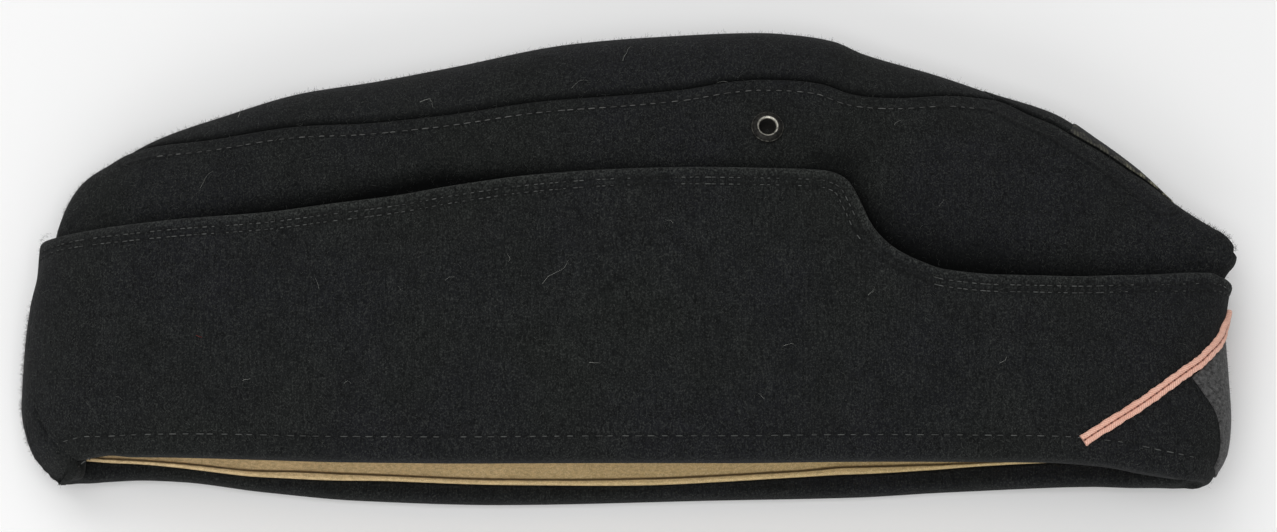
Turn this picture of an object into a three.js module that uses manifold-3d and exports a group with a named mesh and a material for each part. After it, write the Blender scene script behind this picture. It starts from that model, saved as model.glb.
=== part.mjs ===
// A garrison cap in black wool, lying on its left side as it is stored.
// Millimetres. X runs from the back of the cap to its front, Y from the hem to the crown, Z up.
//
// Every cloth layer follows one inner form, the space that the folded head hollow keeps open.
// A place on that form is given by two numbers. The turn goes once round the head: 0 at the back
// seam, half a turn at the front seam, the upper right side between them and the left side after.
// The fold is the square root of the share of a column that lies between the place and the crest.
import * as THREE from 'three';
import { mergeVertices } from 'three/addons/utils/BufferGeometryUtils.js';
import Module from 'manifold-3d';

// Overall form
const headHalfLength = 140;
const crownHeight = 114.5;
const headGape = 23.6;
const mouthShare = 0.92;
const crestPower = 6;
const undersideRound = 1.2;
const frontLift = 2.4;
const frontLiftStart = 0.78;
const frontLiftEnd = 0.9;

// Cloth layers, from the inside out
const liningWall = 0.9;
const crownWall = 1.7;
const turnUpWall = 3.0;
const layerGap = 0.3;
const liningGap = 0.6;
const patchGap = 0.6;
const seamGap = 0.4;

// Hem fold and edges
const hemUnder = 1.9;
const facingHeight = 4.6;
const clothEdgeRound = 0.8;

// Crown top, the lens shaped piece between the two sides
const gussetDrop = 16.7;

// Vent eyelets
const eyeletAlong = 0.619;
const eyeletDrop = 25.5;
const eyeletHole = 3.8;
const eyeletFlange = 7.8;
const eyeletTube = 0.5;
const eyeletRise = 0.95;
const eyeletDepth = 1.8;
const eyeletSides = 14;

// Braid chevron round the front of the turn-up
const braidWidth = 2.8;
const braidThickness = 1.2;
const braidGroove = 0.45;
const braidEndTurn = 38;

// Plain patches: a cloth lozenge on the turn-up's front and a bare patch on the left crown
const lozengeTurn = 16.5;
const lozengeHalfHeight = 13.7;
const lozengeHeight = 27.3;
const lozengeWall = 0.8;
const lozengeTip = 0.4;
const crownPatchStart = 0.865;
const crownPatchEnd = 0.955;
const crownPatchDrop = 22;
const crownPatchWall = 0.8;
const crownPatchGap = 1;

const degree = Math.PI / 180;
const crownFace = liningWall + liningGap + crownWall;
const stack = crownFace + layerGap + turnUpWall;

// The crest that folds the crown, as a share of the crown height, from the back to the front
const crestLine = [
  { along: 0, height: 0.6071 },
  { along: 0.006, height: 0.6414 },
  { along: 0.013, height: 0.6653 },
  { along: 0.02, height: 0.6806 },
  { along: 0.032, height: 0.6981 },
  { along: 0.045, height: 0.7173 },
  { along: 0.08, height: 0.7604 },
  { along: 0.13, height: 0.8016 },
  { along: 0.2, height: 0.8522 },
  { along: 0.26, height: 0.8744 },
  { along: 0.33, height: 0.906 },
  { along: 0.43, height: 0.9551 },
  { along: 0.5, height: 0.971 },
  { along: 0.6, height: 0.9819 },
  { along: 0.635, height: 0.9757 },
  { along: 0.66, height: 0.965 },
  { along: 0.685, height: 0.9383 },
  { along: 0.75, height: 0.8908 },
  { along: 0.8, height: 0.8484 },
  { along: 0.85, height: 0.8049 },
  { along: 0.885, height: 0.746 },
  { along: 0.918, height: 0.684 },
  { along: 0.95, height: 0.612 },
  { along: 0.985, height: 0.554 },
  { along: 0.993, height: 0.541 },
  { along: 0.998, height: 0.5279 },
  { along: 1, height: 0.5175 },
];

// The hem of the right and left side, as shares of the crown height
const hemLine = [
  { along: 0, right: 0.0556, left: 0.0555 },
  { along: 0.0025, right: 0.0504, left: 0.0514 },
  { along: 0.0036, right: 0.0468, left: 0.0497 },
  { along: 0.0056, right: 0.072, left: 0.0477 },
  { along: 0.009, right: 0.084, left: 0.0479 },
  { along: 0.03, right: 0.086, left: 0.0514 },
  { along: 0.05, right: 0.079, left: 0.0534 },
  { along: 0.085, right: 0.0735, left: 0.0506 },
  { along: 0.16, right: 0.063, left: 0.0297 },
  { along: 0.25, right: 0.0535, left: 0.0112 },
  { along: 0.375, right: 0.0487, left: 0.0024 },
  { along: 0.58, right: 0.0488, left: 0.0121 },
  { along: 0.7, right: 0.0535, left: 0.0179 },
  { along: 0.8, right: 0.056, left: 0.0304 },
  { along: 0.87, right: 0.0567, left: 0.0351 },
  { along: 0.92, right: 0.0514, left: 0.0381 },
  { along: 0.96, right: 0.0385, left: 0.0419 },
  { along: 0.98, right: 0.0361, left: 0.047 },
  { along: 1, right: 0.057, left: 0.057 },
];

// The back and front fold of the head, as shares of half its length, from the hem to the crest
const endFolds = [
  { up: 0, back: -0.931, front: 0.944 },
  { up: 0.04, back: -0.9419, front: 0.953 },
  { up: 0.07, back: -0.9617, front: 0.958 },
  { up: 0.14, back: -0.9882, front: 0.973 },
  { up: 0.27, back: -1.0014, front: 0.9785 },
  { up: 0.45, back: -1, front: 0.9765 },
  { up: 0.63, back: -0.9939, front: 0.974 },
  { up: 0.76, back: -0.9831, front: 0.983 },
  { up: 0.86, back: -0.9806, front: 0.9907 },
  { up: 0.88, back: -0.9799, front: 0.9965 },
  { up: 0.9, back: -0.9789, front: 1.0037 },
  { up: 0.93, back: -0.9765, front: 1.0106 },
  { up: 0.94, back: -0.9755, front: 1.0128 },
  { up: 0.96, back: -0.973, front: 1.017 },
  { up: 1, back: -0.9665, front: 1.0241 },
];

// How high the folds lie above the left side's inner face, as a share of the head gape
const foldRise = [
  { along: 0, rise: 0.11 },
  { along: 0.15, rise: 0.22 },
  { along: 0.5, rise: 0.31 },
  { along: 0.8, rise: 0.26 },
  { along: 1, rise: 0.22 },
];

// The turn-up's upper edge as a share of the crown height, with the scoop at its front
const turnUpEdge = [
  { along: 0, height: 0.5501 },
  { along: 0.009, height: 0.5504 },
  { along: 0.055, height: 0.556 },
  { along: 0.12, height: 0.5654 },
  { along: 0.19, height: 0.5721 },
  { along: 0.25, height: 0.5863 },
  { along: 0.3, height: 0.5991 },
  { along: 0.36, height: 0.6235 },
  { along: 0.42, height: 0.6453 },
  { along: 0.5, height: 0.6601 },
  { along: 0.57, height: 0.664 },
  { along: 0.63, height: 0.662 },
  { along: 0.668, height: 0.6578 },
  { along: 0.682, height: 0.648 },
  { along: 0.692, height: 0.6317 },
  { along: 0.702, height: 0.59 },
  { along: 0.712, height: 0.5404 },
  { along: 0.727, height: 0.5009 },
  { along: 0.746, height: 0.4737 },
  { along: 0.775, height: 0.4496 },
  { along: 0.82, height: 0.4411 },
  { along: 0.876, height: 0.4413 },
  { along: 0.933, height: 0.4507 },
  { along: 0.985, height: 0.4658 },
  { along: 1, height: 0.4776 },
];

// How far the top seams lie below the crest, as a share of the gusset's drop
const gussetSeam = [
  { along: 0.05, drop: 0.0055 },
  { along: 0.127, drop: 0.3688 },
  { along: 0.183, drop: 0.5317 },
  { along: 0.227, drop: 0.6149 },
  { along: 0.286, drop: 0.7335 },
  { along: 0.42, drop: 0.9216 },
  { along: 0.485, drop: 0.9596 },
  { along: 0.54, drop: 0.9315 },
  { along: 0.584, drop: 0.8341 },
  { along: 0.684, drop: 0.66 },
  { along: 0.726, drop: 0.513 },
  { along: 0.78, drop: 0.1934 },
  { along: 0.8, drop: 0.0075 },
];

// Soft hollows in the upper side, with depth as a share of the head gape
const dents = [
  { along: 0.7, up: 0.86, reachAlong: 0.05, reachUp: 0.16, depth: 0.09 },
  { along: 0.84, up: 0.62, reachAlong: 0.1, reachUp: 0.2, depth: 0.05 },
  { along: 0.27, up: 0.8, reachAlong: 0.13, reachUp: 0.14, depth: 0.05 },
  { along: 0.14, up: 0.3, reachAlong: 0.1, reachUp: 0.2, depth: 0.04 },
];

// The braid's middle line from the front seam: share of its end turn, share of the crown height
const braidLine = [
  { run: 0, height: 0.406 },
  { run: 0.035, height: 0.378 },
  { run: 0.071, height: 0.3537 },
  { run: 0.116, height: 0.3345 },
  { run: 0.187, height: 0.3127 },
  { run: 0.268, height: 0.2943 },
  { run: 0.36, height: 0.2734 },
  { run: 0.482, height: 0.2498 },
  { run: 0.576, height: 0.2288 },
  { run: 0.666, height: 0.207 },
  { run: 0.737, height: 0.1878 },
  { run: 0.808, height: 0.1677 },
  { run: 0.876, height: 0.1476 },
  { run: 0.947, height: 0.1249 },
  { run: 1, height: 0.1 },
];

// The lozenge's edges from the front seam: share of its turn, shares of its half height
const lozengeEdges = [
  { run: 0, above: 0.78, below: 1.4 },
  { run: 0.28, above: 0.5, below: 1.25 },
  { run: 0.4, above: 0.4, below: 0.83 },
  { run: 0.59, above: 0.26, below: 0.47 },
  { run: 0.82, above: 0.08, below: 0.22 },
  { run: 1, above: 0, below: 0 },
];

// Smooth value of a table's column, level where the rows turn, so that nothing overshoots
function valueAt(table, key, column, at) {
  const last = table.length - 1;
  if (at <= table[0][key]) return table[0][column];
  if (at >= table[last][key]) return table[last][column];
  let row = 0;
  while (table[row + 1][key] < at) row += 1;
  const rise = (i) => (table[i + 1][column] - table[i][column]) / (table[i + 1][key] - table[i][key]);
  const slope = (i) => {
    if (i === 0) return rise(0);
    if (i === last) return rise(last - 1);
    const before = rise(i - 1);
    const after = rise(i);
    return before * after <= 0 ? 0 : (2 * before * after) / (before + after);
  };
  const span = table[row + 1][key] - table[row][key];
  const t = (at - table[row][key]) / span;
  const startWeight = (1 + 2 * t) * (1 - t) * (1 - t);
  const startPull = t * (1 - t) * (1 - t) * span;
  const endPull = t * t * (t - 1) * span;
  return startWeight * table[row][column] + (1 - startWeight) * table[row + 1][column]
    + startPull * slope(row) + endPull * slope(row + 1);
}

const smoothStep = (from, to, at) => THREE.MathUtils.smoothstep(at, from, to);
const alongOf = (turn) => (1 - Math.cos(turn)) / 2;
const turnOf = (along) => Math.acos(1 - 2 * along);
const isRight = (turn) => Math.sin(turn) >= 0;

// Heights of one column of the form: its hem and its crest
function columnAt(turn) {
  const along = alongOf(turn);
  const hem = crownHeight * valueAt(hemLine, 'along', isRight(turn) ? 'right' : 'left', along);
  const crest = crownHeight * valueAt(crestLine, 'along', 'height', along);
  return { hem, crest, height: crest - hem };
}

function dentAt(along, up) {
  let depth = 0;
  for (const dent of dents) {
    const a = (along - dent.along) / dent.reachAlong;
    const b = (up - dent.up) / dent.reachUp;
    depth += dent.depth * headGape * Math.exp(-a * a - b * b);
  }
  return depth;
}

// A place on the inner form
function corePoint(turn, fold) {
  if (fold < 0) return corePoint(-turn, -fold);
  const along = alongOf(turn);
  const up = 1 - fold * fold;
  const column = columnAt(turn);
  const back = valueAt(endFolds, 'up', 'back', up);
  const front = valueAt(endFolds, 'up', 'front', up);
  const mouth = mouthShare + (1 - mouthShare) * smoothStep(0, 0.35, up);
  const closing = Math.sqrt(Math.max(0, 1 - Math.max(0, up) ** crestPower));
  const bulge = Math.abs(Math.sin(turn)) * closing * mouth;
  const floor = stack + frontLift * smoothStep(frontLiftStart, frontLiftEnd, along);
  const rim = floor + headGape * valueAt(foldRise, 'along', 'rise', along);
  const top = stack + headGape;
  const z = isRight(turn)
    ? rim + (top - rim) * bulge - dentAt(along, up) * bulge
    : rim - (rim - floor) * Math.sin((Math.PI / 2) * Math.min(1, bulge * undersideRound));
  return new THREE.Vector3(
    headHalfLength * THREE.MathUtils.lerp(back, front, along),
    column.hem + column.height * up,
    z,
  );
}

// The outward direction there; a corner between two folds takes the mean of its sides
function outwardAt(turn, fold) {
  const step = 0.004;
  const round = corePoint(turn + step, fold).sub(corePoint(turn - step, fold));
  const rise = corePoint(turn, fold - step).sub(corePoint(turn, fold + step));
  const outward = round.cross(rise);
  if (outward.length() < 1e-5) {
    const inset = 0.06;
    return outwardAt(turn + inset, fold + inset).add(outwardAt(turn - inset, fold + inset)).normalize();
  }
  return outward.normalize();
}

const placeAt = (turn, fold, depth) => corePoint(turn, fold).addScaledVector(outwardAt(turn, fold), depth);
const foldOfLevel = (turn, level) => Math.sqrt(Math.max(0, 1 - level / columnAt(turn).height));
const foldOfHeight = (turn, height) => foldOfLevel(turn, height - columnAt(turn).hem);

// The fold share that lies a given distance along the cloth from another one
function foldStep(turn, fold, distance) {
  const step = 0.01;
  const reach = corePoint(turn, fold + step).distanceTo(corePoint(turn, fold)) / step;
  return fold + distance / Math.max(reach, Math.abs(distance) / 0.05);
}

// Stations that every layer shares, from the back seam to the front seam: close together in the
// two tight folds and along the scoop of the turn-up
const endAngles = [0, 1.6, 3.4, 5.8, 9, 13, 19];
const middleAngles = [29.5, 42, 60, 79, 98];
const scoopAlongs = [0.65, 0.682, 0.692, 0.702, 0.712, 0.727, 0.746, 0.77, 0.79, 0.865, 0.9, 0.94];
const gussetStart = turnOf(gussetSeam[0].along);
const gussetEnd = turnOf(gussetSeam[gussetSeam.length - 1].along);
const stations = [
  ...endAngles.map((angle) => angle * degree),
  ...middleAngles.map((angle) => angle * degree),
  ...scoopAlongs.map(turnOf),
  ...endAngles.map((angle) => (180 - angle) * degree),
  gussetStart,
  gussetEnd,
].sort((a, b) => a - b);

// One closed body from a row of closed loops, with the two end loops filled in
function sweptSolid(loops, startSection, endSection = startSection) {
  const count = startSection.length;
  const positions = loops.flat().flatMap((point) => [point.x, point.y, point.z]);
  const index = [];
  for (let i = 0; i + 1 < loops.length; i += 1) {
    for (let j = 0; j < count; j += 1) {
      const a = i * count + j;
      const b = i * count + ((j + 1) % count);
      index.push(a, b, b + count, a, b + count, a + count);
    }
  }
  const facesOf = (section) => {
    const clockwise = THREE.ShapeUtils.isClockWise(section);
    const faces = THREE.ShapeUtils.triangulateShape(section, []);
    return clockwise ? faces.map((face) => face.reverse()) : faces;
  };
  for (const [a, b, c] of facesOf(startSection)) index.push(a, c, b);
  const lastStart = (loops.length - 1) * count;
  for (const face of facesOf(endSection)) index.push(...face.map((corner) => lastStart + corner));
  return outwardGeometry(positions, index);
}

// Geometry from points and faces, turned right way out by the sign of its volume
function outwardGeometry(positions, index) {
  const corner = (k) => new THREE.Vector3().fromArray(positions, 3 * index[k]);
  let volume = 0;
  for (let k = 0; k < index.length; k += 3) {
    volume += corner(k).dot(corner(k + 1).cross(corner(k + 2)));
  }
  if (volume < 0) index.reverse();
  const geometry = new THREE.BufferGeometry();
  geometry.setAttribute('position', new THREE.Float32BufferAttribute(positions, 3));
  geometry.setIndex(index);
  return mergeVertices(geometry, 1e-4);
}

// The cut side of a seam between the two halves is half a gap away from the fold line
function clearOfSeam(point, turn, fold) {
  const onSeam = Math.abs(Math.sin(turn)) < 1e-6 || fold < 1e-6;
  return onSeam ? (side) => point.setZ(point.z + (side * seamGap) / 2) : () => point;
}

// A cloth piece of one side: its cut section is a list of depths and levels at every station
function sidePiece(side, sectionAt) {
  const loops = stations.map((turn) => {
    const sideTurn = side * turn;
    return sectionAt(sideTurn).map(({ depth, fold }) => {
      const point = placeAt(sideTurn, fold, depth);
      return clearOfSeam(point, sideTurn, fold)(side);
    });
  });
  const flat = (loop) => loop.map(({ x, y }) => new THREE.Vector2(x, y));
  return sweptSolid(loops, flat(loops[0]), flat(loops[loops.length - 1]));
}

// The seam to the gusset, as a fold share; zero where the two sides meet on the crest itself
function seamFold(turn) {
  const along = alongOf(turn);
  const outside = along < gussetSeam[0].along || along > gussetSeam[gussetSeam.length - 1].along;
  if (outside) return 0;
  return Math.sqrt((gussetDrop * valueAt(gussetSeam, 'along', 'drop', along)) / columnAt(turn).height);
}

// Lines that the layers share, so that they stay parallel: low ones by the share of the column
// below them, side ones on the way from there to the top seam, and gusset ones up to the crest
const lowFolds = [0.07, 0.14, 0.27, 0.45, 0.62].map((up) => Math.sqrt(1 - up));
const lastLow = lowFolds[lowFolds.length - 1];
const sideShares = [0.72, 0.48, 0.28, 0.12, 0];
const gussetShares = [1, 0.66, 0.36, 0.14, 0];
const leastBand = 0.08;
const sideLines = (seam) => sideShares.map((share) => seam + (lastLow - seam) * share);

// The side of the crown, from inside the hem fold up to the top seam
function crownPanelSection(turn) {
  const low = foldOfLevel(turn, hemUnder + layerGap);
  const seam = seamFold(turn);
  const high = seam > 0 ? foldStep(turn, seam, seamGap / 2) : 0;
  const folds = [low, ...lowFolds, ...sideLines(high)];
  const inner = folds.map((fold) => ({ depth: liningWall + liningGap, fold }));
  const outer = folds.map((fold) => ({ depth: crownFace, fold })).reverse();
  return [...inner, ...outer];
}

// The turn-up: double cloth outside the crown, rolled under its hem and up inside as a facing
const turnUpShares = [0.35, 0.7];
function turnUpSection(turn) {
  const edge = crownHeight * valueAt(turnUpEdge, 'along', 'height', alongOf(turn)) - columnAt(turn).hem;
  const face = stack;
  const inner = crownFace + layerGap;
  const at = (depth, level) => ({ depth, fold: foldOfLevel(turn, level) });
  const bend = lowFolds[3];
  const top = foldOfLevel(turn, edge - clothEdgeRound);
  const rise = [...lowFolds.slice(0, 4), ...turnUpShares.map((share) => bend + (top - bend) * share)];
  return [
    at(0, facingHeight),
    at(0, hemUnder * 0.8),
    at(liningWall * 0.7, hemUnder * 0.2),
    at(liningWall * 2, 0),
    at(face - turnUpWall * 0.45, 0),
    at(face - turnUpWall * 0.1, hemUnder * 0.4),
    at(face, hemUnder * 1.3),
    ...rise.map((fold) => ({ depth: face, fold })),
    at(face, edge - clothEdgeRound),
    at(face - clothEdgeRound, edge),
    at(inner + clothEdgeRound, edge),
    at(inner, edge - clothEdgeRound),
    ...rise.map((fold) => ({ depth: inner, fold })).reverse(),
    at(inner, hemUnder),
    at(liningWall, hemUnder),
    at(liningWall, facingHeight),
  ];
}

// The crown top: a lens of cloth over the crest, between the two top seams
const gussetAcross = [...gussetShares.slice(0, -1).map((share) => -share), ...gussetShares.slice().reverse()];
function crownTopGeometry() {
  const loops = [];
  for (const turn of stations.filter((at) => at >= gussetStart && at <= gussetEnd)) {
    const width = (side) => foldStep(side * turn, seamFold(side * turn), -seamGap / 2);
    const place = (share, depth) => {
      const side = share < 0 ? -1 : 1;
      return placeAt(side * turn, Math.abs(share) * width(side), depth);
    };
    const inner = gussetAcross.map((share) => place(share, liningWall + liningGap));
    const outer = gussetAcross.map((share) => place(share, crownFace)).reverse();
    loops.push([...inner, ...outer]);
  }
  const section = [
    ...gussetAcross.map((share) => new THREE.Vector2(share * gussetDrop, 0)),
    ...gussetAcross.map((share) => new THREE.Vector2(share * gussetDrop, crownWall)).reverse(),
  ];
  return sweptSolid(loops, section);
}

// The lining: one bag, open at the hem, its back and front closed on the folds
function liningGeometry() {
  const low = (turn) => foldOfLevel(turn, facingHeight + layerGap);
  const half = (turn) => {
    const band = Math.max(leastBand, seamFold(turn));
    const crest = gussetShares.slice(1).map((share) => share * band);
    return [low(turn), ...lowFolds.slice(1), ...sideLines(band), ...crest];
  };
  const count = 2 * half(0).length - 1;
  const positions = [];
  for (const depth of [liningWall, 0]) {
    for (const turn of stations) {
      const right = half(turn).map((fold) => placeAt(turn, fold, depth));
      const left = half(-turn).map((fold) => placeAt(-turn, fold, depth)).slice(0, -1).reverse();
      for (const point of [...right, ...left]) positions.push(point.x, point.y, point.z);
    }
  }
  const insideStart = stations.length * count;
  const index = [];
  for (let i = 0; i + 1 < stations.length; i += 1) {
    for (let j = 0; j + 1 < count; j += 1) {
      const a = i * count + j;
      const b = a + count;
      index.push(a, b, b + 1, a, b + 1, a + 1);
      index.push(insideStart + a, insideStart + b + 1, insideStart + b);
      index.push(insideStart + a, insideStart + a + 1, insideStart + b + 1);
    }
    for (const [j, flip] of [[0, false], [count - 1, true]]) {
      const a = i * count + j;
      const b = a + count;
      const rim = [a, insideStart + a, insideStart + b, a, insideStart + b, b];
      index.push(...(flip ? rim.reverse() : rim));
    }
  }
  return outwardGeometry(positions, index);
}

// A ring with a domed flange and a short tube, its axis along the cloth's outward direction
function eyeletGeometry() {
  const bore = eyeletHole / 2;
  const tube = bore + eyeletTube;
  const rim = eyeletFlange / 2;
  const profile = [
    [bore, -eyeletDepth],
    [tube, -eyeletDepth],
    [tube, layerGap],
    [rim, layerGap],
    [rim - 0.1, layerGap + eyeletRise * 0.5],
    [rim * 0.75, layerGap + eyeletRise],
    [tube, layerGap + eyeletRise * 0.9],
    [bore, layerGap + eyeletRise * 0.4],
    [bore, -eyeletDepth],
  ].map(([radius, height]) => new THREE.Vector2(radius, height));
  const geometry = new THREE.LatheGeometry(profile, eyeletSides);
  geometry.deleteAttribute('normal');
  geometry.deleteAttribute('uv');
  return outwardGeometry([...geometry.attributes.position.array], [...geometry.index.array]);
}

function eyeletPose(side) {
  const turn = side * turnOf(eyeletAlong);
  const fold = Math.sqrt(eyeletDrop / columnAt(turn).height);
  const turning = new THREE.Quaternion().setFromUnitVectors(
    new THREE.Vector3(0, 1, 0),
    outwardAt(turn, fold),
  );
  return { place: placeAt(turn, fold, crownFace), turning };
}

// Cut one closed body out of another
const wasm = await Module();
wasm.setup();
function solidOf(geometry) {
  const merged = mergeVertices(geometry, 1e-4);
  return new wasm.Manifold(new wasm.Mesh({
    numProp: 3,
    vertProperties: new Float32Array(merged.attributes.position.array),
    triVerts: new Uint32Array(merged.index.array),
  }));
}

function cutGeometry(body, tool) {
  const mesh = solidOf(body).subtract(solidOf(tool)).getMesh();
  const geometry = new THREE.BufferGeometry();
  geometry.setAttribute('position', new THREE.BufferAttribute(mesh.vertProperties, 3));
  geometry.setIndex(new THREE.BufferAttribute(mesh.triVerts, 1));
  return geometry;
}

function crownPanelGeometry(side) {
  const panel = sidePiece(side, crownPanelSection);
  const radius = eyeletHole / 2 + eyeletTube + layerGap;
  const drill = new THREE.CylinderGeometry(radius, radius, 4 * crownWall, eyeletSides);
  drill.deleteAttribute('normal');
  drill.deleteAttribute('uv');
  const { place, turning } = eyeletPose(side);
  drill.applyQuaternion(turning);
  drill.translate(place.x, place.y, place.z);
  return cutGeometry(panel, drill);
}

// The braid: two rounded cords side by side, sewn flat along its line on both sides of the front
function braidGeometry() {
  const half = braidWidth / 2;
  const section = [
    [-half, 0],
    [-half, braidThickness * 0.55],
    [-half * 0.7, braidThickness],
    [-half * 0.3, braidThickness],
    [0, braidThickness - braidGroove],
    [half * 0.3, braidThickness],
    [half * 0.7, braidThickness],
    [half, braidThickness * 0.55],
    [half, 0],
  ].map(([across, up]) => new THREE.Vector2(across, up));
  const runs = [0, 0.04, 0.08, 0.13, 0.19, 0.26, 0.35, 0.46, 0.6, 0.8, 1];
  const signed = [...runs.slice(1).map((run) => -run).reverse(), ...runs];
  const lineAt = (run) => {
    const turn = Math.PI + run * braidEndTurn * degree;
    const height = crownHeight * valueAt(braidLine, 'run', 'height', Math.abs(run));
    const fold = foldOfHeight(turn, height);
    return { point: placeAt(turn, fold, stack + layerGap), outward: outwardAt(turn, fold) };
  };
  const loops = signed.map((run) => {
    const step = 0.01;
    const { point, outward } = lineAt(run);
    const ahead = lineAt(Math.min(1, run + step)).point.sub(lineAt(Math.max(-1, run - step)).point);
    const across = outward.clone().cross(ahead).normalize();
    return section.map(({ x, y }) => point.clone().addScaledVector(across, x).addScaledVector(outward, y));
  });
  return sweptSolid(loops, section);
}

// The cloth lozenge, folded round the front of the turn-up
function lozengeGeometry() {
  const angles = [...endAngles.filter((angle) => angle < lozengeTurn), lozengeTurn];
  const signed = [...angles.slice(1).map((angle) => -angle).reverse(), ...angles];
  const across = [-1, -0.8, -0.55, -0.1, 0.4, 1];
  const low = stack + patchGap;
  const loops = signed.map((angle) => {
    const turn = Math.PI + angle * degree;
    const edge = (column) =>
      lozengeTip / 2 + lozengeHalfHeight * valueAt(lozengeEdges, 'run', column, Math.abs(angle) / lozengeTurn);
    const top = lozengeHeight + edge('above');
    const bottom = lozengeHeight - edge('below');
    const heightOf = (step) => THREE.MathUtils.lerp(bottom, top, (step + 1) / 2);
    const place = (step, depth) => placeAt(turn, foldOfHeight(turn, heightOf(step)), depth);
    const inner = across.map((step) => place(step, low));
    const outer = across.map((step) => place(step, low + lozengeWall)).reverse();
    return [...inner, ...outer];
  });
  const section = [
    ...across.map((step) => new THREE.Vector2(step, 0)),
    ...across.map((step) => new THREE.Vector2(step, lozengeWall)).reverse(),
  ];
  return sweptSolid(loops, section);
}

// The bare crown patch: a half oval on the left side of the crown, its straight edge on the crest
function crownPatchGeometry() {
  const low = crownFace + crownPatchGap;
  const down = [0, 0.1, 0.2, 0.33, 0.47, 0.62, 0.8, 1];
  const loops = [];
  const steps = 8;
  for (let i = 0; i <= steps; i += 1) {
    const share = i / steps;
    const turn = -turnOf(THREE.MathUtils.lerp(crownPatchStart, crownPatchEnd, share));
    const drop = crownPatchDrop * Math.sqrt(Math.max(0.01, 1 - (2 * share - 1) ** 2));
    const reach = Math.sqrt(drop / columnAt(turn).height);
    const place = (step, depth) => placeAt(turn, step * reach, depth);
    const inner = down.map((step) => place(step, low));
    const outer = down.map((step) => place(step, low + crownPatchWall)).reverse();
    loops.push([...inner, ...outer]);
  }
  const section = [
    ...down.map((step) => new THREE.Vector2(step, 0)),
    ...down.map((step) => new THREE.Vector2(step, crownPatchWall)).reverse(),
  ];
  return sweptSolid(loops, section);
}

// Finishes
const finish = (color, roughness, metalness = 0) =>
  new THREE.MeshStandardMaterial({ color, roughness, metalness, flatShading: true });
const wool = () => finish(0x1e2021, 0.95);
const liningCloth = () => finish(0xa8966e, 0.8);
const braidCord = () => finish(0xd79682, 0.75);
const greyFelt = () => finish(0x4b4b4e, 0.95);
const blackPatch = () => finish(0x2a2a2c, 0.9);
const nickel = () => finish(0x8d8a80, 0.4, 0.9);

const cap = new THREE.Group();
const addPiece = (name, geometry, material) => {
  const mesh = new THREE.Mesh(geometry, material);
  mesh.name = name;
  cap.add(mesh);
  return mesh;
};

for (const [name, side] of [['right', 1], ['left', -1]]) {
  addPiece(`crown_panel_${name}`, crownPanelGeometry(side), wool());
  addPiece(`turn_up_${name}`, sidePiece(side, turnUpSection), wool());
  const eyelet = addPiece(`vent_eyelet_${name}`, eyeletGeometry(), nickel());
  const { place, turning } = eyeletPose(side);
  eyelet.position.copy(place);
  eyelet.quaternion.copy(turning);
}
addPiece('crown_top', crownTopGeometry(), wool());
addPiece('lining', liningGeometry(), liningCloth());
addPiece('braid_chevron', braidGeometry(), braidCord());
addPiece('front_lozenge', lozengeGeometry(), greyFelt());
addPiece('crown_patch', crownPatchGeometry(), blackPatch());

// The cap lies on its left side, with its frame at the middle of what it covers
const covered = new THREE.Box3().setFromObject(cap);
const middle = covered.getCenter(new THREE.Vector3());
cap.position.set(-middle.x, -middle.y, -covered.min.z);

export default cap;
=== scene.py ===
"""A black wool garrison cap that lies on its left side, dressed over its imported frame.

Metres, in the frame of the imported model: X from the back of the cap to its front, Y from the hem
to the crown, Z up. The sizes of the cloth form are in millimetres, as they are in its source.
"""

import logging
import math
from dataclasses import dataclass, field
from enum import Enum
from typing import Callable, Sequence

import bpy
import numpy as np
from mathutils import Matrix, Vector


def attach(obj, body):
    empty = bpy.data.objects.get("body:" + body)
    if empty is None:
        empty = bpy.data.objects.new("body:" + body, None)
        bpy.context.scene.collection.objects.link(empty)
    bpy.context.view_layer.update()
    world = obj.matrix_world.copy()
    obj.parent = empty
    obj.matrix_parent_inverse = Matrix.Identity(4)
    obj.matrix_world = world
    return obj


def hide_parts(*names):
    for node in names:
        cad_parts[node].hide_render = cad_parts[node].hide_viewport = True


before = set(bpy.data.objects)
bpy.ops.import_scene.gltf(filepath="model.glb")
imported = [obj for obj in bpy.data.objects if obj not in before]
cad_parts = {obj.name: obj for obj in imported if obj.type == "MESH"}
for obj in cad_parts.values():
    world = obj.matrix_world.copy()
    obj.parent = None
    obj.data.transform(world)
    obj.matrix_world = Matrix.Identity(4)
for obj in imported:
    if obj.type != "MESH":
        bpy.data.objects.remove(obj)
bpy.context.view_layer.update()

log = logging.getLogger("garrison_cap")
MM = 0.001
FAR = 60.0  # millimetres: a distance at which no seam or edge shows
NEAR_TURN = 1e-4  # how close to the folds the panels start, in turn
DepthOf = Callable[[np.ndarray, np.ndarray], np.ndarray]


# Smooth lines through chosen rows


@dataclass(frozen=True)
class Line:
    """A smooth line through chosen rows, level where the rows turn, so that nothing overshoots."""

    rows: tuple[tuple[float, float], ...]

    def __call__(self, at: np.ndarray) -> np.ndarray:
        """The line's value.

        Args:
            at: Where to read it; outside the rows the end values hold.

        Returns:
            One value for each place.
        """
        keys, values = (np.array(column, float) for column in zip(*self.rows))
        rises = np.diff(values) / np.diff(keys)
        both = rises[:-1] * rises[1:]
        total = np.where(both > 0, rises[:-1] + rises[1:], 1.0)
        inner = np.where(both > 0, 2 * both / total, 0.0)
        slopes = np.concatenate([rises[:1], inner, rises[-1:]])
        at = np.clip(at, keys[0], keys[-1])
        row = np.clip(np.searchsorted(keys, at) - 1, 0, len(keys) - 2)
        span = keys[row + 1] - keys[row]
        t = (at - keys[row]) / span
        start = (1 + 2 * t) * (1 - t) ** 2
        pull = t * (1 - t) ** 2 * span * slopes[row] + t * t * (t - 1) * span * slopes[row + 1]
        return start * values[row] + (1 - start) * values[row + 1] + pull


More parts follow.
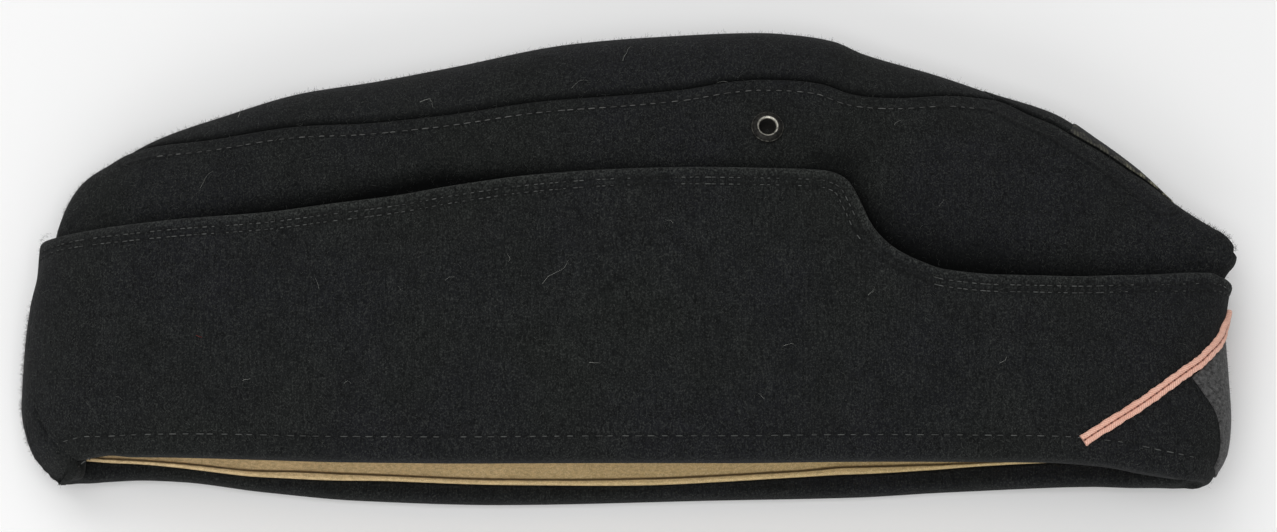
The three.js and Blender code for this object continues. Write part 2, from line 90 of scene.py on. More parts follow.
def smooth_step(start: float, end: float, at: np.ndarray) -> np.ndarray:
    """0 before start, 1 after end, and a smooth rise between them."""
    t = np.clip((at - start) / (end - start), 0.0, 1.0)
    return t * t * (3 - 2 * t)


def bell(at: np.ndarray, middle: float, reach: float) -> np.ndarray:
    """1 at the middle, and a soft fall to nothing on both sides."""
    return np.exp(-(((at - middle) / reach) ** 2))


def along_of(turn: np.ndarray) -> np.ndarray:
    """The share of the way from the back seam to the front seam."""
    return (1 - np.cos(turn)) / 2


def turn_of(along: np.ndarray) -> np.ndarray:
    """The turn of the right side that lies at a share of the way to the front."""
    return np.arccos(np.clip(1 - 2 * np.asarray(along, float), -1.0, 1.0))


@dataclass(frozen=True)
class Dent:
    """A soft hollow of the upper side: its place and reach as shares, its depth as a share of the gape."""

    along: float
    up: float
    reach_along: float
    reach_up: float
    depth: float


# The top seam as shares of the gusset's drop; the left one crosses the crest towards the front
SEAM_START = (
    (0.05, 0.0055), (0.127, 0.3688), (0.183, 0.5317), (0.227, 0.6149), (0.286, 0.7335),
    (0.42, 0.9216), (0.485, 0.9596), (0.54, 0.9315), (0.584, 0.8341), (0.684, 0.66), (0.726, 0.513),
)
SEAM_END = (
    (0.807, 0.108), (0.837, 0.165), (0.863, 0.155), (0.888, 0.108), (0.915, 0.079), (0.938, 0.015), (0.95, 0),
)


@dataclass(frozen=True)
class HeadForm:
    """The folded inner form that every cloth layer follows.

    A place on it has a turn, 0 at the back seam and pi at the front seam on the right side and the
    negative of that on the left side, and a fold, the root of the share of its column that lies
    between it and the crest. Depth is counted outward from the form. Millimetres.
    """

    half_length: float = 140.0
    crown_height: float = 114.5
    gape: float = 23.6
    mouth_share: float = 0.92
    crest_power: float = 6.0
    underside_round: float = 1.2
    mouth_rise: float = 0.35
    front_lift: float = 2.4
    lift_reach: tuple[float, float] = (0.78, 0.9)
    crown_face: float = 3.2
    stack: float = 6.5
    shift: tuple[float, float, float] = (0.1017, -57.8877, 0.0)
    rest_height: float = 0.2
    corner_inset: float = 0.06
    slope_step: float = 0.004
    gusset_reach: tuple[float, float] = (0.05, 0.95)
    crest: Line = Line((
        (0, 0.6071), (0.006, 0.6414), (0.013, 0.6653), (0.02, 0.6806), (0.032, 0.6981), (0.045, 0.7173),
        (0.08, 0.7604), (0.13, 0.8016), (0.2, 0.8522), (0.26, 0.8744), (0.33, 0.906), (0.43, 0.9551),
        (0.5, 0.971), (0.6, 0.9819), (0.635, 0.9757), (0.66, 0.965), (0.685, 0.9383), (0.75, 0.8908),
        (0.8, 0.8484), (0.85, 0.8049), (0.885, 0.746), (0.918, 0.684), (0.95, 0.612), (0.985, 0.557),
        (0.993, 0.548), (0.998, 0.538), (1, 0.522),
    ))
    hem_right: Line = Line((
        (0, 0.0556), (0.002, 0.0504), (0.0028, 0.0468), (0.0043, 0.072), (0.007, 0.084), (0.03, 0.086),
        (0.05, 0.079), (0.085, 0.0735), (0.16, 0.063), (0.25, 0.0535), (0.375, 0.0487), (0.58, 0.0488),
        (0.7, 0.0535), (0.8, 0.056), (0.87, 0.0567), (0.92, 0.0514), (0.96, 0.0385), (0.985, 0.0345),
        (1, 0.048),
    ))
    hem_left: Line = Line((
        (0, 0.0555), (0.006, 0.0477), (0.02, 0.0499), (0.05, 0.0534), (0.085, 0.0506), (0.16, 0.0297),
        (0.25, 0.0112), (0.375, 0.0024), (0.58, 0.0121), (0.7, 0.0179), (0.8, 0.0304), (0.87, 0.0351),
        (0.92, 0.0365), (0.96, 0.0335), (0.985, 0.0335), (0.995, 0.038), (1, 0.048),
    ))
    back_fold: Line = Line((
        (0, -0.934), (0.04, -0.9445), (0.07, -0.9605), (0.14, -0.9875), (0.27, -1.0014), (0.45, -1),
        (0.63, -0.9939), (0.76, -0.9831), (0.88, -0.9799), (0.94, -0.9755), (1, -0.9665),
    ))
    front_fold: Line = Line((
        (0, 0.944), (0.04, 0.953), (0.07, 0.958), (0.14, 0.973), (0.27, 0.9785), (0.45, 0.9765),
        (0.63, 0.974), (0.76, 0.983), (0.86, 0.9907), (0.9, 1.0037), (0.93, 1.0106), (0.96, 1.019),
        (0.985, 1.027), (1, 1.028),
    ))
    fold_rise: Line = Line(((0, 0.11), (0.15, 0.22), (0.5, 0.31), (0.8, 0.26), (1, 0.22)))
    edge: Line = Line((
        (0, 0.5501), (0.009, 0.5504), (0.055, 0.556), (0.12, 0.5654), (0.19, 0.5721), (0.25, 0.5863),
        (0.3, 0.5991), (0.36, 0.6235), (0.42, 0.6453), (0.5, 0.6601), (0.57, 0.664), (0.63, 0.662),
        (0.668, 0.6578), (0.682, 0.648), (0.692, 0.6317), (0.702, 0.59), (0.712, 0.5404),
        (0.727, 0.5009), (0.746, 0.4737), (0.775, 0.4496), (0.82, 0.4411), (0.876, 0.4413),
        (0.933, 0.4507), (0.985, 0.4658), (1, 0.4776),
    ))
    gusset_drop: float = 16.7
    seam_right: Line = Line(SEAM_START + ((0.78, 0.1934),) + SEAM_END)
    seam_left: Line = Line(
        SEAM_START + ((0.765, 0.22), (0.785, 0.02)) + tuple((along, -share) for along, share in SEAM_END)
    )
    dents: tuple[Dent, ...] = (
        Dent(0.7, 0.86, 0.05, 0.16, 0.09),
        Dent(0.84, 0.62, 0.1, 0.2, 0.05),
        Dent(0.27, 0.8, 0.13, 0.14, 0.05),
        Dent(0.14, 0.3, 0.1, 0.2, 0.04),
    )
    # The crease's depth, reach and power set both how far the crown sinks and the painted shade above the
    # turn-up's edge.
    crease_depth: Line = Line((
        (0, 0.5), (0.1, 1.2), (0.17, 2.8), (0.26, 3.8), (0.34, 4.4), (0.39, 3.2), (0.45, 1.8), (0.54, 1.2),
        (0.63, 1.3), (0.68, 2.6), (0.72, 3.8), (0.8, 3.6), (0.88, 2.6), (0.96, 1.5), (1, 0.8),
    ))
    crease_reach: Line = Line((
        (0, 1.8), (0.12, 2.9), (0.18, 3.5), (0.24, 4.0), (0.3, 5.0), (0.335, 5.7), (0.365, 3.9), (0.41, 2.8),
        (0.5, 1.9), (0.64, 2.2), (0.7, 7.0), (0.8, 7.0), (0.88, 4.5), (1, 2.6),
    ))
    crease_power: Line = Line((
        (0, 1.6), (0.2, 2.0), (0.32, 2.8), (0.42, 2.2), (0.62, 1.5), (0.7, 1.2), (1, 1.3),
    ))

    def hem(self, turn: np.ndarray) -> np.ndarray:
        """The height of the hem at a turn."""
        along = along_of(turn)
        right = self.hem_right(along)
        return self.crown_height * np.where(np.sin(turn) >= 0, right, self.hem_left(along))

    def column(self, turn: np.ndarray) -> np.ndarray:
        """The height from the hem to the crest at a turn."""
        return self.crown_height * self.crest(along_of(turn)) - self.hem(turn)

    def core(self, turn: np.ndarray, fold: np.ndarray) -> np.ndarray:
        """Places on the inner form.

        Args:
            turn: The turn of each place.
            fold: Its fold; a negative one is on the other side of the crest.

        Returns:
            The places, with x, y and z on the last axis.
        """
        turn, fold = np.broadcast_arrays(np.asarray(turn, float), np.asarray(fold, float))
        turn = np.where(fold < 0, -turn, turn)
        fold = np.abs(fold)
        along = along_of(turn)
        up = 1 - fold * fold
        mouth = self.mouth_share + (1 - self.mouth_share) * smooth_step(0, self.mouth_rise, up)
        closing = np.sqrt(np.maximum(0, 1 - np.maximum(0, up) ** self.crest_power))
        bulge = np.abs(np.sin(turn)) * closing * mouth
        floor = self.stack + self.front_lift * smooth_step(*self.lift_reach, along)
        rim = floor + self.gape * self.fold_rise(along)
        top = self.stack + self.gape
        upper = rim + (top - rim) * bulge - self.dent(along, up) * bulge
        lower = rim - (rim - floor) * np.sin(math.pi / 2 * np.minimum(1, bulge * self.underside_round))
        back, front = self.back_fold(up), self.front_fold(up)
        x = self.half_length * (back + (front - back) * along)
        y = self.hem(turn) + self.column(turn) * up
        return np.stack([x, y, np.where(np.sin(turn) >= 0, upper, lower)], axis=-1)

    def dent(self, along: np.ndarray, up: np.ndarray) -> np.ndarray:
        """How deep the soft hollows of the upper side are at a place.

        Args:
            along: The share of the way to the front.
            up: The share of the way from the hem to the crest.

        Returns:
            The depth at each place, in millimetres.
        """
        depth = np.zeros_like(along)
        for dent in self.dents:
            reach = bell(along, dent.along, dent.reach_along) * bell(up, dent.up, dent.reach_up)
            depth = depth + dent.depth * self.gape * reach
        return depth

    def outward(self, turn: np.ndarray, fold: np.ndarray) -> np.ndarray:
        """The outward direction; a corner between folds takes the mean of its sides.

        Args:
            turn: The turn of each place.
            fold: Its fold.

        Returns:
            A direction of length 1 for each place.
        """
        turn, fold = np.broadcast_arrays(np.asarray(turn, float), np.asarray(fold, float))
        direction = self._slope(turn, fold)
        length = np.linalg.norm(direction, axis=-1, keepdims=True)
        inset = self.corner_inset
        sides = [self._slope(turn + way * inset, fold + inset) for way in (1, -1)]
        mean = sum(side / np.maximum(np.linalg.norm(side, axis=-1, keepdims=True), 1e-12) for side in sides)
        direction = np.where(length < 1e-5, mean, direction)
        return direction / np.maximum(np.linalg.norm(direction, axis=-1, keepdims=True), 1e-12)

    def _slope(self, turn: np.ndarray, fold: np.ndarray) -> np.ndarray:
        """The cross product of the form's two directions at each place.

        Args:
            turn: The turn of each place.
            fold: Its fold.

        Returns:
            An outward vector for each place, of any length.
        """
        step = self.slope_step
        across = self.core(turn + step, fold) - self.core(turn - step, fold)
        rise = self.core(turn, fold - step) - self.core(turn, fold + step)
        return np.cross(across, rise)

    def place(self, turn: np.ndarray, fold: np.ndarray, depth: np.ndarray) -> np.ndarray:
        """Places on a layer of cloth, in metres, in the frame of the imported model.

        Args:
            turn: The turn of each place.
            fold: Its fold.
            depth: How far outside the inner form it lies, in millimetres.

        Returns:
            The places, with x, y and z on the last axis.
        """
        turn, fold, depth = np.broadcast_arrays(turn, fold, np.asarray(depth, float))
        points = self.core(turn, fold) + self.outward(turn, fold) * depth[..., None] + np.array(self.shift)
        points[..., 2] = np.maximum(points[..., 2], self.rest_height)
        return points * MM

    def fold_of_level(self, turn: np.ndarray, level: np.ndarray) -> np.ndarray:
        """The fold that lies a level above the hem."""
        return np.sqrt(np.maximum(0, 1 - level / self.column(turn)))

    def fold_of_height(self, turn: np.ndarray, height: np.ndarray) -> np.ndarray:
        """The fold that lies at a height."""
        return self.fold_of_level(turn, height - self.hem(turn))

    def fold_step(self, turn: np.ndarray, fold: np.ndarray, distance: np.ndarray) -> np.ndarray:
        """The fold that lies a distance along the cloth from another one, away from the crest."""
        step = 0.01
        reach = np.linalg.norm(self.core(turn, fold + step) - self.core(turn, fold), axis=-1) / step
        return fold + distance / np.maximum(reach, np.abs(distance) / 0.05)

    def seam_fold(self, turn: np.ndarray) -> np.ndarray:
        """The fold of the top seam; a negative one lies on the other side of the crest.

        Args:
            turn: The turn of each place.

        Returns:
            One fold for each turn.
        """
        along = along_of(turn)
        share = np.where(np.sin(turn) >= 0, self.seam_right(along), self.seam_left(along))
        start, end = self.gusset_reach
        share = np.where((along >= start) & (along <= end), share * self.gusset_drop, 0.0)
        return np.sign(share) * np.sqrt(np.abs(share) / self.column(turn))

    def edge_height(self, turn: np.ndarray) -> np.ndarray:
        """The height of the turn-up's upper edge."""
        return self.crown_height * self.edge(along_of(turn))

    def crease(self, turn: np.ndarray, fold: np.ndarray) -> np.ndarray:
        """How far the crown and its lining sink where the turn-up's edge presses on them."""
        shade = self.crease_share(turn, fold)
        return self.crease_depth(along_of(turn)) * shade * smooth_step(0.05, 0.3, np.abs(np.sin(turn)))

    def crease_share(self, turn: np.ndarray, fold: np.ndarray) -> np.ndarray:
        """1 at the turn-up's edge, and less with the distance above and below it.

        Args:
            turn: The turn of each place.
            fold: Its fold.

        Returns:
            One share for each place.
        """
        height = self.hem(turn) + self.column(turn) * (1 - fold * fold)
        above = (height - self.edge_height(turn)) / self.crease_reach(along_of(turn))
        power = self.crease_power(along_of(turn))
        return np.exp(-(np.abs(above) ** power) * np.where(above > 0, 1.0, 0.3))


class Side(Enum):
    """The two sides of the cap, with the sign of their turns."""

    RIGHT = 1
    LEFT = -1

    @property
    def word(self) -> str:
        """The side's word in the names of its nodes."""
        return self.name.lower()


# Meshes


@dataclass
class Cloth:
    """A sheet of mesh in rows and columns of points, with values for its finish at every point."""

    points: np.ndarray
    values: dict[str, np.ndarray] = field(default_factory=dict)
    closed: bool = False
    hole: tuple[np.ndarray, float] | None = None

    def faces(self) -> np.ndarray:
        """The quads between neighbouring rows and columns, outside the hole if there is one.

        Returns:
            Four point numbers for each quad.
        """
        rows, columns = self.points.shape[:2]
        index = np.arange(rows * columns).reshape(rows, columns)
        if self.closed:
            index = np.concatenate([index, index[:, :1]], axis=1)
        quads = [index[:-1, :-1], index[:-1, 1:], index[1:, 1:], index[1:, :-1]]
        faces = np.stack(quads, axis=-1).reshape(-1, 4)
        if self.hole is None:
            return faces
        middle, radius = self.hole
        centres = self.points.reshape(-1, 3)[faces].mean(axis=1)
        return faces[np.linalg.norm(centres - middle, axis=1) > radius]


def make_mesh(name: str, cloths: Sequence[Cloth], material: bpy.types.Material) -> bpy.types.Object:
    """Joins sheets of mesh into one smooth object.

    Args:
        name: The object's name.
        cloths: The sheets, each with the same named values.
        material: The finish.

    Returns:
        The new object, linked to the scene.
    """
    points, faces, start = [], [], 0
    for cloth in cloths:
        faces.append(cloth.faces() + start)
        points.append(cloth.points.reshape(-1, 3))
        start += len(points[-1])
    keys = cloths[0].values
    values = {key: np.concatenate([cloth.values[key].reshape(-1) for cloth in cloths]) for key in keys}
    return make_object(name, np.concatenate(points), np.concatenate(faces), values, material)


def make_object(
    name: str,
    points: np.ndarray,
    faces: np.ndarray,
    values: dict[str, np.ndarray],
    material: bpy.types.Material,
) -> bpy.types.Object:
    """Makes one smooth object.

    Args:
        name: The object's name.
        points: Its points, in metres.
        faces: The point numbers of each face.
        values: Named values at the points.
        material: The finish.

    Returns:
        The new object, linked to the scene.
    """
    mesh = bpy.data.meshes.new(name)
    mesh.from_pydata(points.tolist(), [], faces.tolist())
    mesh.polygons.foreach_set("use_smooth", [True] * len(mesh.polygons))
    for key, value in values.items():
        mesh.attributes.new(key, "FLOAT", "POINT").data.foreach_set("value", value.astype(np.float32))
    mesh.materials.append(material)
    made = bpy.data.objects.new(name, mesh)
    bpy.context.scene.collection.objects.link(made)
    return made


def fit(piece: bpy.types.Object, nodes: Sequence[str] = ()) -> bpy.types.Object:
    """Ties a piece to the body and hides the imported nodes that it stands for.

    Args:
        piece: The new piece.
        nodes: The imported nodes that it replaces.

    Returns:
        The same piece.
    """
    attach(piece, "root")
    if nodes:
        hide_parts(*nodes)
    log.info("%s: %d faces", piece.name, len(piece.data.polygons))
    return piece


def nearest_on_line(points: np.ndarray, line: np.ndarray) -> tuple[np.ndarray, np.ndarray]:
    """How far points lie from a line in the plane, and where along it.

    Args:
        points: Places in the plane, x and y on the last axis.
        line: The corners of the line.

    Returns:
        The distance of each point and the run of the line's nearest place.
    """
    flat = points.reshape(-1, 2)
    legs = np.diff(line, axis=0)
    lengths = np.maximum(np.linalg.norm(legs, axis=1), 1e-9)
    runs = np.concatenate([[0.0], np.cumsum(lengths)])
    best = np.full(len(flat), np.inf)
    run = np.zeros(len(flat))
    for start, leg, length, before in zip(line, legs, lengths, runs):
        share = np.clip(((flat - start) @ leg) / length**2, 0.0, 1.0)
        gap = np.linalg.norm(flat - start - share[:, None] * leg, axis=1)
        closer = gap < best
        best = np.where(closer, gap, best)
        run = np.where(closer, before + share * length, run)
    return best.reshape(points.shape[:-1]), run.reshape(points.shape[:-1])


# Shader expressions


@dataclass(frozen=True)
class Wire:
    """A number that varies over a surface, so that shader maths reads as an expression."""

    nodes: "Nodes"
    socket: bpy.types.NodeSocket

    def maths(self, operation: str, *others: "Wire | float", clamp: bool = False) -> "Wire":
        """A Math node on this value and the others."""
        values = dict(enumerate((self, *others)))
        made = self.nodes.node("ShaderNodeMath", {"operation": operation, "use_clamp": clamp}, values)
        return Wire(self.nodes, made.outputs[0])

    def __add__(self, other: "Wire | float") -> "Wire":
        """This value plus another."""
        return self.maths("ADD", other)

    __radd__ = __add__

    def __sub__(self, other: "Wire | float") -> "Wire":
        """This value minus another."""
        return self.maths("SUBTRACT", other)

    def __rsub__(self, other: float) -> "Wire":
        """A number minus this value."""
        return self.maths("MULTIPLY", -1.0) + other

    def __mul__(self, other: "Wire | float") -> "Wire":
        """This value times another."""
        return self.maths("MULTIPLY", other)

    __rmul__ = __mul__

    def __truediv__(self, other: "Wire | float") -> "Wire":
        """This value divided by another."""
        return self.maths("DIVIDE", other)

    def sine(self) -> "Wire":
        """The sine of this value."""
        return self.maths("SINE")

    def size(self) -> "Wire":
        """This value without its sign."""
        return self.maths("ABSOLUTE")

    def over(self, start: float, end: float) -> "Wire":
        """0 below start, 1 above end, and straight between them."""
        return ((self - start) / (end - start)).maths("ADD", 0.0, clamp=True)

    def peak(self, middle: float, reach: float) -> "Wire":
        """1 at the middle and a soft fall to 0 at the reach on both sides."""
        near = (1.0 - (self - middle).size() / reach).maths("MAXIMUM", 0.0)
        return near * near * (3.0 - 2.0 * near)


@dataclass(frozen=True)
class Nodes:
    """The node tree of one finish."""

    material: bpy.types.Material

    @classmethod
    def named(cls, name: str) -> "Nodes":
        """An empty tree in a new material.

        Args:
            name: The material's name.

        Returns:
            The tree, with no nodes in it.
        """
        material = bpy.data.materials.new(name)
        material.use_nodes = True
        material.node_tree.nodes.clear()
        return cls(material)

    def node(self, kind: str, settings: dict | None = None, values: dict | None = None) -> bpy.types.Node:
        """Adds a node.

        Args:
            kind: The node's type.
            settings: Its settings, set before its sockets.
            values: A number, colour, socket or wire for each input socket.

        Returns:
            The new node.
        """
        tree = self.material.node_tree
        made = tree.nodes.new(kind)
        for name, setting in (settings or {}).items():
            setattr(made, name, setting)
        for key, value in (values or {}).items():
            if isinstance(value, Wire):
                tree.links.new(value.socket, made.inputs[key])
            elif isinstance(value, bpy.types.NodeSocket):
                tree.links.new(value, made.inputs[key])
            else:
                made.inputs[key].default_value = value
        return made

    def value(self, name: str) -> Wire:
        """A named value of the mesh."""
        made = self.node("ShaderNodeAttribute", {"attribute_name": name})
        return Wire(self, made.outputs["Fac"])

    def place(self, stretch: Sequence[float] = (1.0, 1.0, 1.0)) -> bpy.types.NodeSocket:
        """The place on the object in metres, each axis times its stretch.

        Args:
            stretch: The factor of each axis.

        Returns:
            The socket of the stretched place.
        """
        made = self.node("ShaderNodeTexCoord")
        scaled = self.node(
            "ShaderNodeVectorMath", {"operation": "MULTIPLY"}, {0: made.outputs["Object"], 1: tuple(stretch)}
        )
        return scaled.outputs[0]

    def noise(self, grain: float, detail: float = 2.0, stretch: Sequence[float] = (1.0, 1.0, 1.0)) -> Wire:
        """Soft noise around 0.5, with grains of that size in millimetres."""
        values = {"Vector": self.place(stretch), "Scale": 1.0 / (grain * MM), "Detail": detail}
        made = self.node("ShaderNodeTexNoise", {"noise_dimensions": "3D"}, values)
        return Wire(self, made.outputs[0])

    def mix(self, factor: Wire | float, first: object, second: object) -> bpy.types.NodeSocket:
        """A colour between two others."""
        made = self.node("ShaderNodeMix", {"data_type": "RGBA"}, {0: factor, 6: first, 7: second})
        return made.outputs[2]

    def bump(self, height: Wire, depth: float) -> bpy.types.NodeSocket:
        """The surface direction over a relief whose height of 1 is that many millimetres."""
        made = self.node("ShaderNodeBump", None, {"Height": height, "Distance": depth * MM, "Strength": 1.0})
        return made.outputs[0]

    def finished(self, values: dict) -> bpy.types.Material:
        """Closes the tree with the main shader and gives the material."""
        shader = self.node("ShaderNodeBsdfPrincipled", None, values)
        self.node("ShaderNodeOutputMaterial", None, {"Surface": shader.outputs[0]})
        return self.material


def shade(red: float, green: float, blue: float) -> tuple[float, float, float, float]:
    """A linear colour from screen values of 0 to 255."""
    linear = [(((c / 255) + 0.055) / 1.055) ** 2.4 if c > 10 else c / 255 / 12.92 for c in (red, green, blue)]
    return (*linear, 1.0)


# Finishes


@dataclass(frozen=True)
class StitchGroove:
    """The groove that a row of stitches pulls into the cloth: the value that measures it and its place."""

    value: str
    at: float
    pitch: float
    reach: float = 0.8
    strength: float = 1.0


@dataclass(frozen=True)
class FulledWool:
    """Matt black wool, fulled to a short nap, with faint pale fibres and pulled grooves at its seams, painted
    shade in the grooves, painted shade along the top seam and in the crease where asked, and wear with a
    painted highlight.
    """

    name: str
    grooves: tuple[StitchGroove, ...] = ()
    # Whether the wool gets painted shade along the top seam and in the crease above the turn-up's edge.
    painted_shade: bool = False
    body: tuple[float, float, float] = (25, 27, 26)
    cool: tuple[float, float, float] = (24, 25, 28)
    pile: tuple[float, float, float] = (58, 60, 58)
    hollow: tuple[float, float, float] = (11, 12, 12)
    relief: float = 0.24

    def material(self) -> bpy.types.Material:
        """The finish as a material.

        Returns:
            The new material.
        """
        nodes = Nodes.named(self.name)
        cloudy = nodes.noise(40.0, 2.0).over(0.38, 0.62)
        patchy = nodes.noise(7.0, 3.0)
        felt = nodes.noise(0.9, 4.0)
        nap = nodes.noise(0.36, 3.0, (1.0, 0.8, 1.0))
        rib = nodes.noise(0.75, 2.0, (1.9, 0.25, 1.0))
        color = nodes.mix(cloudy, shade(*self.body), shade(*self.cool))
        color = nodes.mix(felt.over(0.54, 0.34) * 0.75, color, shade(*self.hollow))
        color = nodes.mix(nap.over(0.5, 0.74) * 0.85, color, shade(*self.pile))
        color = nodes.mix(rib.over(0.5, 0.7) * 0.16, color, shade(*self.pile))
        color = nodes.mix(rib.over(0.5, 0.32) * 0.25, color, shade(*self.hollow))
        color = nodes.mix(patchy.over(0.62, 0.36) * 0.25, color, shade(*self.hollow))
        height = nap * 0.8 + felt * 0.7 + rib * 0.35 + patchy * 0.5
        for groove in self.grooves:
            run = nodes.value(groove.value + "_run")
            pull = 0.72 + 0.28 * (run * (2 * math.pi / groove.pitch)).sine()
            dip = nodes.value(groove.value).peak(groove.at, groove.reach)
            height = height - dip * pull * (1.6 * groove.strength)
            # Painted shade in the groove that the stitches pull into the cloth.
            color = nodes.mix(dip * 0.4 * groove.strength, color, shade(*self.hollow))
        # Lighter wool: real wear beside the front of the crown's top seam, and a painted highlight along the
        # turn-up's rolled upper edge.
        wear_and_highlight = nodes.value("wear_and_highlight") * nap.over(0.38, 0.66) * felt.over(0.3, 0.6)
        color = nodes.mix(wear_and_highlight * 0.5, color, shade(82, 85, 82))
        if self.painted_shade:
            # Painted shade: near black along the rolled top seam, where its groove lies in shade.
            color = nodes.mix(nodes.value("seam").peak(0.0, 0.85) * 0.85, color, shade(6, 7, 7))
            # Painted shade in the crease above the turn-up's edge, where the crown sinks behind it.
            color = nodes.mix(nodes.value("painted_shade").over(0.02, 0.6) * 0.95, color, shade(4, 5, 5))
        return nodes.finished({
            "Base Color": color,
            "Roughness": 0.97,
            "Specular IOR Level": 0.06,
            "Sheen Weight": 0.03,
            "Sheen Roughness": 0.6,
            "Normal": nodes.bump(height, self.relief),
        })


@dataclass(frozen=True)
class TanLining:
    """Tan lining cotton: fine weave, a slight crumple, and painted shade in the crease above its rolled lower
    edge.
    """

    name: str = "tan_lining"
    warm: tuple[float, float, float] = (220, 192, 146)
    olive: tuple[float, float, float] = (200, 175, 124)
    crease_shade: tuple[float, float, float] = (58, 42, 20)

    def material(self) -> bpy.types.Material:
        """The finish as a material.

        Returns:
            The new material.
        """
        nodes = Nodes.named(self.name)
        along = nodes.value("along")
        slub = nodes.noise(0.5, 2.0, (0.4, 1.0, 1.0))
        grain = nodes.noise(0.3, 2.0)
        soft = nodes.noise(12.0, 3.0)
        color = nodes.mix(along.over(0.05, 0.75), shade(*self.warm), shade(*self.olive))
        color = nodes.mix(soft.over(0.3, 0.7) * 0.22, color, shade(*(c * 0.8 for c in self.olive)))
        color = nodes.mix(slub.over(0.4, 0.62) * 0.45, color, shade(*(c * 0.72 for c in self.olive)))
        color = nodes.mix(grain.over(0.48, 0.66) * 0.5, color, shade(232, 210, 168))
        # Painted shade in the crease above the rolled lower edge.
        crease = nodes.value("groove").peak(0.0, 0.55)
        color = nodes.mix(crease * 0.85, color, shade(*self.crease_shade))
        height = slub * 0.5 + grain * 0.7 + soft * 2.0 - crease * 2.0
        return nodes.finished({
            "Base Color": color,
            "Roughness": 0.85,
            "Specular IOR Level": 0.2,
            "Sheen Weight": 0.08,
            "Normal": nodes.bump(height, 0.1),
        })


@dataclass(frozen=True)
class TarnishedNickel:
    """Nickel gone dark on its flange, still bright on the worn inner rim, with worn metal and a painted glint
    on the outer rim and painted shade in the bore.
    """

    name: str = "tarnished_nickel"

    def material(self) -> bpy.types.Material:
        """The finish as a material.

        Returns:
            The new material.
        """
        nodes = Nodes.named(self.name)
        radius = nodes.value("radius")
        spots = nodes.noise(0.7, 4.0)
        fine = nodes.noise(0.2, 2.0)
        bright = radius.peak(2.28, 0.36) * spots.over(0.25, 0.5)
        # Bright band at the outer rim: partly worn bare metal, partly a painted glint.
        rim_wear_and_glint = radius.peak(3.78, 0.13) * spots.over(0.3, 0.7)
        dull = nodes.mix(spots.over(0.35, 0.65), shade(18, 19, 18), shade(46, 45, 42))
        color = nodes.mix((bright + rim_wear_and_glint * 0.4).over(0.0, 1.0), dull, shade(206, 203, 192))
        # Painted shade: the disc that closes the bore is near black, matt and not metal, standing in for the
        # shadow in the hole.
        bore_shade = 1.0 - radius.over(1.86, 1.95)
        color = nodes.mix(bore_shade, color, shade(8, 7, 4))
        return nodes.finished({
            "Base Color": color,
            "Metallic": 0.85 - bore_shade * 0.85,
            "Roughness": 0.52 - bright * 0.24 + fine * 0.1 + bore_shade * 0.48,
            "Normal": nodes.bump(spots * 0.6 + fine * 0.3, 0.05),
        })


@dataclass(frozen=True)
class SalmonBraid:
    """Salmon braid in two lobes of slanting silky ribs, with painted rust-red shade in the groove between the
    lobes and darker painted shade in its stitch pits.
    """

    name: str = "salmon_braid"
    rib: float = 0.62

    def material(self) -> bpy.types.Material:
        """The finish as a material.

        Returns:
            The new material.
        """
        nodes = Nodes.named(self.name)
        run, across = nodes.value("run"), nodes.value("across")
        slant = (run + across.size() * 0.85) * (2 * math.pi / self.rib)
        ribs = slant.sine() * 0.5 + 0.5
        groove = across.peak(0.0, 0.34)
        pits = groove * (run * (2 * math.pi / 1.9)).sine().over(0.35, 0.9)
        soft = nodes.noise(2.2, 3.0)
        fray = nodes.noise(0.25, 2.0)
        color = nodes.mix(soft.over(0.3, 0.7), shade(247, 196, 176), shade(236, 178, 156))
        color = nodes.mix((1.0 - ribs) * 0.34, color, shade(204, 138, 116))
        color = nodes.mix(fray.over(0.48, 0.68) * 0.5, color, shade(250, 212, 194))
        # Painted shade in the groove between the lobes and in the stitch pits.
        color = nodes.mix(groove * 0.8, color, shade(150, 84, 66))
        color = nodes.mix(pits * 0.85, color, shade(84, 42, 34))
        height = ribs * 1.0 + fray * 0.5 - groove * 0.6 - pits * 1.4
        return nodes.finished({
            "Base Color": color,
            "Roughness": 0.7,
            "Specular IOR Level": 0.25,
            "Sheen Weight": 0.15,
            "Sheen Tint": (1.0, 0.86, 0.8, 1.0),
            "Normal": nodes.bump(height, 0.14),
        })


@dataclass(frozen=True)
class GreyFelt:
    """Coarse grey felt with pale and dark fibres mixed in."""

    name: str = "grey_felt"

    def material(self) -> bpy.types.Material:
        """The finish as a material.

        Returns:
            The new material.
        """
        nodes = Nodes.named(self.name)
        coarse = nodes.noise(0.75, 4.0, (0.6, 1.0, 1.0))
        fine = nodes.noise(0.3, 3.0)
        color = nodes.mix(coarse.over(0.35, 0.68), shade(42, 42, 42), shade(86, 86, 86))
        color = nodes.mix(fine.over(0.55, 0.72) * 0.55, color, shade(122, 122, 120))
        return nodes.finished({
            "Base Color": color,
            "Roughness": 0.95,
            "Specular IOR Level": 0.12,
            "Sheen Weight": 0.1,
            "Normal": nodes.bump(coarse * 1.0 + fine * 0.6, 0.3),
        })


